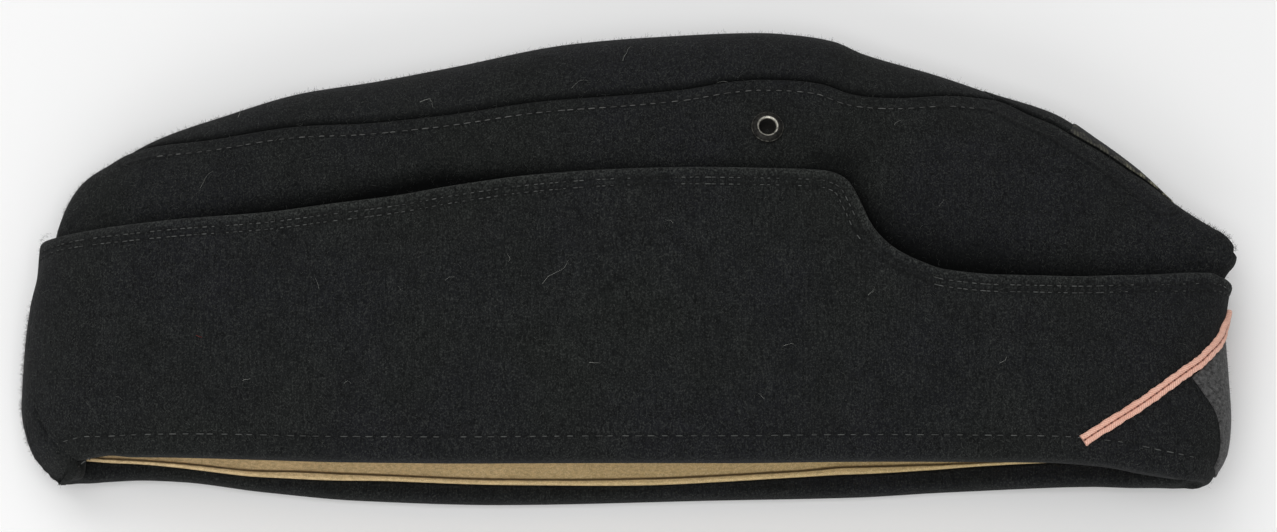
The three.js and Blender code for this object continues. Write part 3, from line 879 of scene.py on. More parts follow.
@dataclass(frozen=True)
class WovenPatch:
    """A plain black patch of fine weave, with a pale whipped edge."""

    name: str = "woven_patch"

    def material(self) -> bpy.types.Material:
        """The finish as a material.

        Returns:
            The new material.
        """
        nodes = Nodes.named(self.name)
        rim, run = nodes.value("rim"), nodes.value("run")
        weave = nodes.noise(0.35, 1.0, (0.5, 1.0, 1.0))
        whip = (run * (2 * math.pi / 0.75)).sine() * 0.5 + 0.5
        pale = (1.0 - rim.over(0.5, 1.1)) * nodes.value("bright") * nodes.noise(1.6, 3.0).over(0.38, 0.6)
        color = nodes.mix(weave.over(0.4, 0.7), shade(34, 34, 35), shade(50, 50, 51))
        thread = nodes.mix(whip, shade(84, 84, 70), shade(158, 155, 132))
        color = nodes.mix(pale, color, thread)
        return nodes.finished({
            "Base Color": color,
            "Roughness": 0.85,
            "Specular IOR Level": 0.2,
            "Normal": nodes.bump(weave * 0.4 + whip * pale, 0.15),
        })


@dataclass(frozen=True)
class Thread:
    """Twisted sewing thread or a loose fibre in one shade."""

    name: str
    color: tuple[float, float, float]
    roughness: float = 0.7

    def material(self) -> bpy.types.Material:
        """The finish as a material.

        Returns:
            The new material.
        """
        nodes = Nodes.named(self.name)
        darker = shade(*(c * 0.6 for c in self.color))
        return nodes.finished({
            "Base Color": nodes.mix(nodes.value("tone"), darker, shade(*self.color)),
            "Roughness": self.roughness,
            "Specular IOR Level": 0.3,
        })


# Sub-assemblies

FACING = Line((
    (0, 5.0), (0.013, 4.4), (0.035, 3.55), (0.063, 3.1), (0.108, 2.65), (0.142, 2.8), (0.202, 3.6),
    (0.288, 4.5), (0.403, 4.1), (0.519, 3.45), (0.577, 3.8), (0.649, 4.6), (0.697, 5.0), (0.77, 5.0),
    (0.819, 5.3), (1, 5.5),
))
CREASE = Line((
    (0, 0.9), (0.058, 0.9), (0.111, 1.25), (0.158, 1.4), (0.207, 1.75), (0.291, 1.3), (0.405, 1.25),
    (0.519, 1.5), (0.577, 1.45), (0.651, 1.4), (0.694, 1.7), (0.742, 1.45), (0.819, 0.8), (1, 0.7),
))


def plan_of(form: HeadForm, turn: np.ndarray, fold: np.ndarray) -> np.ndarray:
    """Where places lie on the flattened side: along the cap and above the floor of the hem."""
    height = form.hem(turn) + form.column(turn) * (1 - fold * fold)
    x = form.half_length * (2 * along_of(turn) - 1)
    return np.stack(np.broadcast_arrays(x, height), axis=-1)


def from_plan(form: HeadForm, plan: np.ndarray, side: Side) -> tuple[np.ndarray, np.ndarray]:
    """The turn and fold of places on the flattened side."""
    turn = side.value * turn_of((plan[..., 0] / form.half_length + 1) / 2)
    return turn, form.fold_of_height(turn, plan[..., 1])


def beside(line: np.ndarray, distance: float) -> np.ndarray:
    """The line that runs a distance below another one in the plane."""
    leg = np.gradient(line, axis=0)
    leg /= np.maximum(np.linalg.norm(leg, axis=1, keepdims=True), 1e-9)
    return line + distance * np.stack([leg[:, 1], -leg[:, 0]], axis=1)


def tube_bundle(
    name: str,
    middles: np.ndarray,
    lifts: np.ndarray,
    radii: np.ndarray,
    material: bpy.types.Material,
    sides: int = 6,
) -> bpy.types.Object:
    """One object of many thin tubes.

    Args:
        name: The object's name.
        middles: The points along each tube, in metres: tubes, points, xyz.
        lifts: The direction away from the cloth at each point.
        radii: The tube's radius at each point, in metres.
        material: The finish.
        sides: How many sides each tube has.

    Returns:
        The new object.
    """
    ahead = np.gradient(middles, axis=1)
    ahead /= np.maximum(np.linalg.norm(ahead, axis=-1, keepdims=True), 1e-12)
    across = np.cross(ahead, lifts)
    across /= np.maximum(np.linalg.norm(across, axis=-1, keepdims=True), 1e-12)
    up = np.cross(across, ahead)
    angles = np.arange(sides) * 2 * math.pi / sides
    ring = across[:, :, None] * np.cos(angles)[:, None] + up[:, :, None] * np.sin(angles)[:, None]
    points = middles[:, :, None] + ring * radii[:, :, None, None]
    faces = Cloth(points[0], closed=True).faces()
    starts = np.arange(len(points)) * points[0].size // 3
    tone = np.random.default_rng(len(points)).uniform(0, 1, len(points))
    tone = np.repeat(tone, points[0].size // 3)
    faces = (faces[None] + starts[:, None, None]).reshape(-1, 4)
    return make_object(name, points.reshape(-1, 3), faces, {"tone": tone}, material)


@dataclass
class StitchRow:
    """A row of machine stitches along a line of the flattened side."""

    form: HeadForm
    name: str
    thread: bpy.types.Material
    pitch: float = 1.8
    share: float = 0.62
    radius: float = 0.15
    raised: float = 0.09
    sunk: float = 0.25
    buried: tuple[float, float] = (2.0, 2.0)
    nap: float = 0.1
    stray: float = 0.1
    missing: float = 0.04
    wave: int = 6

    def sew(self, line: np.ndarray, side: Side, depth: DepthOf) -> None:
        """Sews the row.

        Args:
            line: The row's line on the flattened side, in millimetres.
            side: The side of the cap.
            depth: The cloth's depth at a turn and fold.
        """
        turn, fold = from_plan(self.form, line, side)
        level = depth(turn, fold)
        points = self.form.place(turn, fold, level)
        outward = self.form.outward(turn, fold)
        runs = np.concatenate([[0.0], np.cumsum(np.linalg.norm(np.diff(points, axis=0), axis=1))]) / MM
        count = int(runs[-1] / self.pitch)
        rng = np.random.default_rng(len(self.name) + side.value)
        starts = (np.arange(count) + rng.uniform(-self.stray, self.stray, count)) * self.pitch
        shares = np.linspace(0, 1, 7)
        at = starts[:, None] + shares * self.pitch * (self.share * rng.uniform(0.8, 1.15, count))[:, None]
        along = np.interp(starts, runs, along_of(turn))
        kept = (along < self.buried[0]) | (along > self.buried[1])
        kept &= rng.uniform(0, 1, count) > self.missing
        knots = np.arange(0, count + self.wave, self.wave)
        napped = np.interp(np.arange(count), knots, rng.uniform(0, 1, len(knots)))
        napped = napped[kept, None]
        at = at[kept]
        arch = np.sin(shares * math.pi) ** 0.35
        middles = np.stack([np.interp(at, runs, points[:, k]) for k in range(3)], axis=-1)
        lifts = np.stack([np.interp(at, runs, outward[:, k]) for k in range(3)], axis=-1)
        height = (self.raised + self.sunk) * arch - self.sunk - self.nap * napped
        height = height + rng.uniform(-0.06, 0.04, (len(at), 1))
        middles = middles + lifts * height[:, :, None] * MM
        radii = np.broadcast_to(self.radius * (0.55 + 0.45 * arch) * MM, at.shape)
        fit(tube_bundle(f"{self.name}_{side.word}", middles, lifts, radii, self.thread))


def rounded(distance: np.ndarray, radius: float) -> np.ndarray:
    """How far a rounded rim falls away at a distance from its edge."""
    into = np.clip(radius - distance, 0.0, radius)
    return radius - np.sqrt(radius**2 - into**2)


@dataclass
class Crown:
    """The two sides of the crown and the lens shaped top between them."""

    form: HeadForm
    wool: bpy.types.Material
    thread: bpy.types.Material
    inner: float = 1.5
    low_level: float = 2.2
    rim: float = 0.9
    row_drop: float = 3.1
    row_pitch: float = 2.52
    worn: tuple[float, float, float, float] = (0.83, 0.86, 0.935, 0.955)
    worn_reach: float = 1.6
    stations: int = 300
    rows: int = 96
    eyelet_clear: float = 2.9

    def seam_line(self) -> np.ndarray:
        """The top seam on the flattened side."""
        turn = turn_of(np.linspace(0.052, 0.948, 360))
        return plan_of(self.form, turn, self.form.seam_fold(turn))

    def face(self, turn: np.ndarray, fold: np.ndarray) -> np.ndarray:
        """The depth of the crown's outer face."""
        return self.form.crown_face - self.form.crease(turn, fold)

    def panel(self, side: Side, eyelet: np.ndarray) -> bpy.types.Object:
        """One side of the crown, from inside the hem to its rolled top seam.

        Args:
            side: Which side.
            eyelet: The place of its eyelet, in metres.

        Returns:
            The new object.
        """
        form = self.form
        turn = side.value * np.linspace(NEAR_TURN, math.pi - NEAR_TURN, self.stations)[:, None]
        low = form.fold_of_level(turn, self.low_level)
        seam = form.seam_fold(turn)
        rolls = np.array([2.4, 1.7, 1.2, 0.8, 0.5, 0.25, 0.08, 0.0])
        turned = form.fold_step(turn, seam, np.maximum(rolls, 1e-6)[None, :])
        share = np.linspace(0, 1, self.rows)[None, :-1]
        outer = np.concatenate([low + (turned[:, :1] - low) * share, turned], axis=1)
        roll = np.concatenate([np.zeros(self.rows - 1), rounded(rolls, self.rim)])[None, :]
        back = outer[:, ::-4]
        fold = np.concatenate([outer, back], axis=1)
        depth = np.concatenate([form.crown_face - roll + 0 * outer, self.inner + 0 * back], axis=1)
        depth = depth - form.crease(turn, fold)
        plan = plan_of(form, turn, fold)
        distance, run = nearest_on_line(plan, self.seam_line())
        hole = (eyelet, self.eyelet_clear * MM)
        along = along_of(turn)
        # Painted shadow: how dark the crown is painted where it sinks above the turn-up's edge.
        shadow = form.crease_share(turn, fold) * form.crease_depth(along) / 4.2
        start, full, fading, end = self.worn
        worn = smooth_step(start, full, along) * smooth_step(end, fading, along)
        wear_and_highlight = worn * smooth_step(self.worn_reach, 0.2, distance)
        values = {"seam": distance, "seam_run": run, "painted_shade": shadow, "wear_and_highlight": wear_and_highlight}
        cloth = Cloth(form.place(turn, fold, depth), values, True, hole)
        made = make_mesh(f"crown_side_{side.word}", [cloth], self.wool)
        fit(made, [f"crown_panel_{side.word}"])
        row = StitchRow(form, "top_seam_stitches", self.thread, self.row_pitch, 0.8, 0.13)
        row.sew(beside(self.seam_line(), self.row_drop)[12:300], side, self.face)
        return made

    def top(self) -> bpy.types.Object:
        """The lens shaped top, which folds at the crest.

        Returns:
            The new object.
        """
        form = self.form
        start, end = turn_of(np.array([0.0505, 0.806]))
        turn = np.linspace(start, end, self.stations)[:, None]
        across = (np.sin(np.linspace(-1, 1, 61) * math.pi / 2)[None, :] + 1) / 2
        right, left = form.seam_fold(turn), -form.seam_fold(-turn)
        fold = left + (right - left) * across
        reach = np.linalg.norm(form.core(turn, right) - form.core(turn, left), axis=-1)
        distance = np.minimum(across, 1 - across) * reach
        edge = rounded(distance, self.rim)
        outer = form.place(turn, fold, form.crown_face - 0.15 - edge)
        inner = form.place(turn, fold, self.inner + 0 * fold)[:, ::-1]
        points = np.concatenate([outer, inner], axis=1)
        limit = np.full_like(distance, self.worn_reach)
        near = np.concatenate([np.minimum(distance, limit), limit], axis=1)
        values = {"seam": near, "seam_run": 0 * near, "painted_shade": 0 * near, "wear_and_highlight": 0 * near}
        made = make_mesh("crown_gusset", [Cloth(points, values, closed=True)], self.wool)
        return fit(made, ["crown_top"])


@dataclass
class TurnUp:
    """The double cloth turned up round the crown, rolled under the hem into its facing."""

    form: HeadForm
    wool: bpy.types.Material
    edge_thread: bpy.types.Material
    inner: float = 3.5
    facing: Line = FACING
    facing_wall: float = 0.9
    hem_roll: float = 2.4
    edge_roll: float = 1.45
    row_drops: tuple[float, float] = (2.8, 4.4)
    hem_row: float = 6.0
    stand_reach: float = 14.0
    stations: int = 340
    flare: Line = Line((
        (0, 0.1), (0.15, 0.5), (0.25, 1.1), (0.34, 1.4), (0.42, 0.8), (0.5, 0.4), (0.66, 0.6), (0.72, 1.2),
        (0.9, 1.0), (1, 0.2),
    ))

    def edge_line(self) -> np.ndarray:
        """The upper edge on the flattened side."""
        turn = np.linspace(0.0, math.pi, 500)
        x = self.form.half_length * (2 * along_of(turn) - 1)
        return np.stack([x, self.form.edge_height(turn)], axis=1)

    def hem_line(self, side: Side) -> np.ndarray:
        """The hem on the flattened side."""
        turn = np.linspace(NEAR_TURN, math.pi - NEAR_TURN, 500)
        x = self.form.half_length * (2 * along_of(turn) - 1)
        return np.stack([x, self.form.hem(side.value * turn)], axis=1)

    def standing(self, turn: np.ndarray, fold: np.ndarray) -> np.ndarray:
        """How far the upper edge stands off the crown at a place.

        Args:
            turn: The turn of each place.
            fold: Its fold.

        Returns:
            The distance at each place, in millimetres.
        """
        form = self.form
        height = form.hem(turn) + form.column(turn) * (1 - fold * fold)
        below = form.edge_height(turn) - height
        return self.flare(along_of(turn)) * smooth_step(self.stand_reach, 0.0, below)

    def ripple(self, plan: np.ndarray) -> np.ndarray:
        """Soft waves of the cloth, in millimetres."""
        x, y = plan[..., 0], plan[..., 1]
        wave = 0.14 * np.sin(x / 17.0 + 0.6 * np.sin(y / 13.0)) * np.sin(y / 19.0 + 0.7)
        return wave + 0.07 * np.sin(x / 7.3 + y / 11.0 + 1.9)

    def face(self, turn: np.ndarray, fold: np.ndarray) -> np.ndarray:
        """The depth of the turn-up's outer face."""
        soft = self.ripple(plan_of(self.form, turn, fold)) * smooth_step(0.05, 0.4, np.abs(np.sin(turn)))
        return self.form.stack + self.standing(turn, fold) + np.where(np.sin(turn) >= 0, soft, 0.0)

    def build(self, side: Side) -> bpy.types.Object:
        """One side of the turn-up with its rows of stitches.

        Args:
            side: Which side.

        Returns:
            The new object.
        """
        form = self.form
        turn = side.value * np.linspace(NEAR_TURN, math.pi - NEAR_TURN, self.stations)[:, None]
        edge = form.edge_height(turn) - form.hem(turn)
        stack = form.stack
        arc = np.linspace(0, math.pi, 15)
        hem_depth = stack * (1 - np.cos(arc)) / 2
        hem_level = self.hem_roll * (1 - np.sin(arc) ** 0.85)
        columns: list[tuple[np.ndarray, np.ndarray, bool]] = []
        one = np.ones_like(turn)
        facing = self.facing(along_of(turn))
        for share in np.linspace(1, 0, 5)[:-1]:
            columns.append((0 * one, self.hem_roll + (facing - self.hem_roll) * share, False))
        for depth, level in zip(hem_depth, hem_level):
            columns.append((depth * one, level * one, bool(depth > stack * 0.55)))
        top = edge - self.edge_roll
        for share in np.linspace(0, 1, 72)[1:]:
            columns.append((stack * one, self.hem_roll + (top - self.hem_roll) * share, True))
        middle = (stack + self.inner) / 2
        half = (stack - self.inner) / 2
        for angle in np.linspace(0, math.pi, 11)[1:]:
            rise = self.edge_roll * math.sin(angle)
            columns.append(((middle + half * math.cos(angle)) * one, top + rise, bool(angle < 1.9)))
        for share in np.linspace(1, 0, 14)[1:]:
            columns.append((self.inner * one, 2.0 + (top - 2.0) * share, False))
        columns.append((self.facing_wall * one, 2.0 * one, False))
        columns.append((self.facing_wall * one, facing, False))
        depth = np.concatenate([column[0] for column in columns], axis=1)
        level = np.concatenate([column[1] for column in columns], axis=1)
        shown = np.array([column[2] for column in columns])[None, :]
        fold = form.fold_of_level(turn, level)
        standing = np.where(depth > self.inner - 0.1, self.standing(turn, fold), 0.0)
        plan = plan_of(form, turn, fold)
        soft = self.ripple(plan) * smooth_step(0.05, 0.4, np.abs(np.sin(turn)))
        soft = np.where((depth > stack - 0.01) & (np.sin(turn) >= 0), soft, 0.0)
        points = form.place(turn, fold, depth + standing + soft)
        edge_gap, edge_run = nearest_on_line(plan, self.edge_line())
        hem_gap, hem_run = nearest_on_line(plan, self.hem_line(side))
        values = {
            "edge": np.where(shown, edge_gap, FAR),
            "edge_run": edge_run,
            "hem": np.where(shown, hem_gap, FAR),
            "hem_run": hem_run,
            # A painted highlight along the rolled upper edge.
            "wear_and_highlight": np.where(shown, bell(edge_gap, 0.3, 1.5), 0.0),
        }
        made = make_mesh(f"turned_up_cloth_{side.word}", [Cloth(points, values, closed=True)], self.wool)
        fit(made, [f"turn_up_{side.word}"])
        for number, drop in enumerate(self.row_drops):
            row = StitchRow(form, f"edge_stitches_{number + 1}", self.edge_thread, 1.85, 0.86, 0.13)
            row.buried = (0.7, 0.76)
            row.nap = 0.22
            row.stray = 0.2
            row.sew(beside(self.edge_line(), drop)[10:-10], side, self.face)
        low = StitchRow(form, "hem_stitches", self.edge_thread, 3.15, 0.66, 0.13)
        low.sew(beside(self.hem_line(side), -self.hem_row)[14:-14], side, self.face)
        return made


@dataclass
class Lining:
    """The tan bag inside the crown, with a rolled lower edge above the facing."""

    form: HeadForm
    cotton: bpy.types.Material
    wall: float = 0.9
    gap: float = 0.15
    facing: Line = FACING
    lip_stand: float = 0.55
    stations: int = 220
    rows: int = 70

    def half(self, side: Side) -> tuple[np.ndarray, np.ndarray, np.ndarray]:
        """The turns, folds and lip distances of one side, from its lower edge up to the crest.

        Args:
            side: Which side.

        Returns:
            The turns, folds and lip distances, in rows from back to front.
        """
        form = self.form
        turn = side.value * np.linspace(NEAR_TURN, math.pi - NEAR_TURN, self.stations)[:, None]
        near = np.array([0.0, 0.2, 0.45, 0.75, 1.05, 1.3, 1.5, 1.65, 1.85, 2.2, 3.0])
        first = form.fold_of_level(turn, self.facing(along_of(turn)) + self.gap + near[None, :])
        rest = np.linspace(1, 0, self.rows)[None, 1:] * first[:, -1:]
        fold = np.concatenate([first, rest], axis=1)
        far = 3.0 + np.linspace(0, 60, self.rows)[1:]
        return turn, fold, np.broadcast_to(np.concatenate([near, far])[None, :], fold.shape)

    def build(self) -> bpy.types.Object:
        """The whole bag.

        Returns:
            The new object.
        """
        form = self.form
        sheets, lips, along = [], [], []
        for side in Side:
            turn, fold, lip = self.half(side)
            roll = CREASE(along_of(turn))
            rough = 0.15 * np.sin(31 * turn) + 0.12 * np.sin(83 * turn + 1) + 0.08 * np.sin(157 * turn)
            rolled = smooth_step(0.0, 0.35, lip) * smooth_step(roll + 0.2, roll - 0.3, lip)
            swell = (self.lip_stand + rough) * rolled
            crumple = 0.25 * np.sin(12 * turn + 5 * fold) * smooth_step(2.0, 6.0, lip)
            crease = form.crease(turn, fold) * smooth_step(4.0, 12.0, lip)
            inner = form.place(turn, fold, -swell - crumple * np.abs(np.sin(turn)) - crease)
            outer = form.place(turn, fold, self.wall - crease)
            sheets.append(Cloth(np.concatenate([outer[:, ::-1], inner], axis=1)))
            gap = np.abs(lip - roll) + 0.1 * rough
            lips.append(np.concatenate([np.full_like(lip, FAR), gap], axis=1))
            along.append(np.broadcast_to(along_of(turn), lips[-1].shape))
        for sheet, lip, share in zip(sheets, lips, along):
            sheet.values = {"groove": lip, "along": share}
        return fit(make_mesh("lining_bag", sheets, self.cotton), ["lining"])


@dataclass
class VentEyelet:
    """A domed nickel ring set in the side of the crown."""

    form: HeadForm
    nickel: bpy.types.Material
    along: float = 0.619
    drop: float = 25.5
    segments: int = 96
    profile: tuple[tuple[float, float], ...] = (
        # The first two points close the bore with a disc, which carries painted shade.
        (0.02, -1.5), (1.9, -1.5), (1.88, -0.6), (1.9, 0.25), (2.0, 0.72), (2.2, 1.02), (2.5, 1.2),
        (2.8, 1.22), (3.15, 1.1), (3.45, 0.92), (3.65, 0.78), (3.8, 0.6), (3.88, 0.42), (3.9, 0.3),
        (3.8, 0.24), (2.5, 0.3), (2.4, -1.8), (1.9, -1.8),
    )

    def pose(self, side: Side) -> tuple[np.ndarray, np.ndarray]:
        """The ring's place on the crown's face, in metres, and its axis."""
        turn = side.value * turn_of(np.array(self.along))
        fold = np.sqrt(self.drop / self.form.column(turn))
        return self.form.place(turn, fold, self.form.crown_face), self.form.outward(turn, fold)

    def build(self, side: Side) -> bpy.types.Object:
        """One ring.

        Args:
            side: Which side.

        Returns:
            The new object.
        """
        place, axis = self.pose(side)
        across = np.cross(axis, (0.0, 1.0, 0.0))
        across /= np.linalg.norm(across)
        up = np.cross(across, axis)
        angles = np.arange(self.segments + 1) * 2 * math.pi / self.segments
        radius, height = np.array(self.profile).T
        ring = np.cos(angles)[:, None] * across + np.sin(angles)[:, None] * up
        points = place + (ring[:, None] * radius[None, :, None] + axis * height[None, :, None]) * MM
        values = {"radius": np.broadcast_to(radius, points.shape[:2])}
        made = make_mesh(f"nickel_ring_{side.word}", [Cloth(points, values)], self.nickel)
        return fit(made, [f"vent_eyelet_{side.word}"])


def with_ends(points: np.ndarray) -> np.ndarray:
    """Rows of closed loops, with both end loops drawn together to close the form."""
    ends = [np.broadcast_to(points[k].mean(axis=0), points[k].shape) for k in (0, -1)]
    return np.concatenate([ends[0][None], points, ends[1][None]])


@dataclass
class BraidChevron:
    """Two-lobed braid sewn flat round the front of the turn-up."""

    form: HeadForm
    braid: bpy.types.Material
    width: float = 2.8
    thickness: float = 1.2
    groove: float = 0.4
    end_turn: float = math.radians(38)
    lift: float = 0.15
    steps: int = 420
    height: Line = Line((
        (0, 0.406), (0.035, 0.378), (0.071, 0.3537), (0.116, 0.3345), (0.187, 0.3127), (0.268, 0.2943),
        (0.36, 0.2734), (0.482, 0.2498), (0.576, 0.2288), (0.666, 0.207), (0.737, 0.1878),
        (0.808, 0.1677), (0.876, 0.1476), (0.947, 0.1249), (1, 0.1),
    ))

    def build(self) -> bpy.types.Object:
        """The whole chevron.

        Returns:
            The new object.
        """
        form = self.form
        run = np.linspace(-1, 1, self.steps)
        turn = math.pi + run * self.end_turn
        fold = form.fold_of_height(turn, form.crown_height * self.height(np.abs(run)))
        middle = form.place(turn, fold, form.stack + self.lift)
        outward = form.outward(turn, fold)
        ahead = np.gradient(middle, axis=0)
        across = np.cross(outward, ahead)
        across /= np.linalg.norm(across, axis=1, keepdims=True)
        half = self.width / 2
        places = half * np.sin(np.linspace(-1, 1, 37) * math.pi / 2)
        lobe = np.sqrt(np.maximum(0, 1 - ((np.abs(places) - half / 2) / (half / 2)) ** 2))
        rise = self.thickness - self.groove * 1.6 + self.groove * 1.6 * lobe
        rise = np.where(np.abs(places) > half * 0.97, self.thickness * 0.35, rise)
        wide = np.concatenate([places, [half * 0.9, -half * 0.9]])
        tall = np.concatenate([rise, [-0.1, -0.1]])
        wobble = 0.05 * np.sin(run * 61) + 0.04 * np.sin(run * 143 + 1)
        offset = across[:, None] * (wide[None, :, None] * (1 + wobble[:, None, None]))
        points = middle[:, None] + (offset + outward[:, None] * tall[None, :, None]) * MM
        legs = np.linalg.norm(np.diff(middle, axis=0), axis=1) / MM
        runs = np.concatenate([[0.0], np.cumsum(legs)])
        runs = np.concatenate([runs[:1], runs, runs[-1:]])
        values = {
            "run": np.broadcast_to(runs[:, None], (len(runs), len(wide))),
            "across": np.broadcast_to(wide[None, :], (len(runs), len(wide))),
        }
        made = make_mesh("braid_two_lobed", [Cloth(with_ends(points), values, closed=True)], self.braid)
        return fit(made, ["braid_chevron"])


@dataclass
class FrontLozenge:
    """A cloth lozenge folded round the front, under the braid."""

    form: HeadForm
    felt: bpy.types.Material
    end_turn: float = math.radians(16.5)
    half_height: float = 13.7
    middle: float = 27.3
    wall: float = 0.5
    lift: float = 0.15
    tip: float = 0.02
    top_edge: Line = Line(((0, 0.9), (0.34, 0.57), (0.59, 0.345), (0.82, 0.13), (1, 0)))
    low_edge: Line = Line((
        (0, 1.4), (0.28, 1.28), (0.345, 1.06), (0.4, 0.83), (0.5, 0.6), (0.636, 0.42), (0.79, 0.25), (1, 0),
    ))

    def build(self) -> bpy.types.Object:
        """The whole lozenge.

        Returns:
            The new object.
        """
        form = self.form
        run = np.linspace(-1, 1, 160)[:, None]
        turn = math.pi + run * self.end_turn
        top = self.half_height * (self.top_edge(np.abs(run)) + self.tip)
        low = self.half_height * (self.low_edge(np.abs(run)) + self.tip)
        across = (np.sin(np.linspace(-1, 1, 41) * math.pi / 2)[None, :] + 1) / 2
        rim = 0.9 * rounded(np.minimum(across, 1 - across) * (top + low), 0.5)
        share = np.concatenate([across, across[:, ::-1]], axis=1)
        height = self.middle - low + share * (top + low)
        depth = np.concatenate([self.wall - rim, -0.1 + 0 * rim], axis=1)
        points = form.place(turn, form.fold_of_height(turn, height), form.stack + self.lift + depth)
        made = make_mesh("grey_lozenge", [Cloth(with_ends(points), closed=True)], self.felt)
        return fit(made, ["front_lozenge"])


@dataclass
class CrownPatch:
    """A bare half oval patch on the left of the crown, its straight edge on the crest."""

    form: HeadForm
    weave: bpy.types.Material
    start: float = 0.865
    end: float = 0.955
    drop: float = 22.0
    wall: float = 0.4
    gap: float = 0.05
    seam_share: float = 0.98

    def build(self) -> bpy.types.Object:
        """The whole patch.

        Returns:
            The new object.
        """
        form = self.form
        share = np.linspace(0, 1, 90)[:, None]
        turn = -turn_of(self.start + (self.end - self.start) * share)
        drop = self.drop * np.sqrt(np.maximum(0.01, 1 - (2 * share - 1) ** 2))
        reach = np.sqrt(drop / form.column(turn))
        down = np.concatenate([np.linspace(0, 0.04, 8), np.linspace(0.04, 1, 60)[1:]])[None, :]
        near = form.seam_fold(turn) * self.seam_share
        fold = near + (reach - near) * down
        width = form.half_length * 2 * (self.end - self.start)
        rim = np.minimum(np.minimum(down, 1 - down) * drop, np.minimum(share, 1 - share) * width + 0 * down)
        low = form.crown_face + self.gap
        outer = form.place(turn, fold, low + self.wall - self.wall * rounded(rim, 0.8))
        inner = form.place(turn, fold, low - 0.1 + 0 * rim)
        points = np.concatenate([outer, inner[:, ::-1]], axis=1)
        run = drop * down + width * share
        bright = 0.2 + 0.8 * smooth_step(0.3, 0.85, share) + 0 * down
        values = {
            "bright": np.concatenate([bright, bright[:, ::-1]], axis=1),
            "rim": np.concatenate([rim, rim[:, ::-1]], axis=1),
            "run": np.concatenate([run, run[:, ::-1]], axis=1),
        }
        values = {key: np.concatenate([value[:1], value, value[-1:]]) for key, value in values.items()}
        made = make_mesh("plain_patch", [Cloth(with_ends(points), values, closed=True)], self.weave)
        return fit(made, ["crown_patch"])


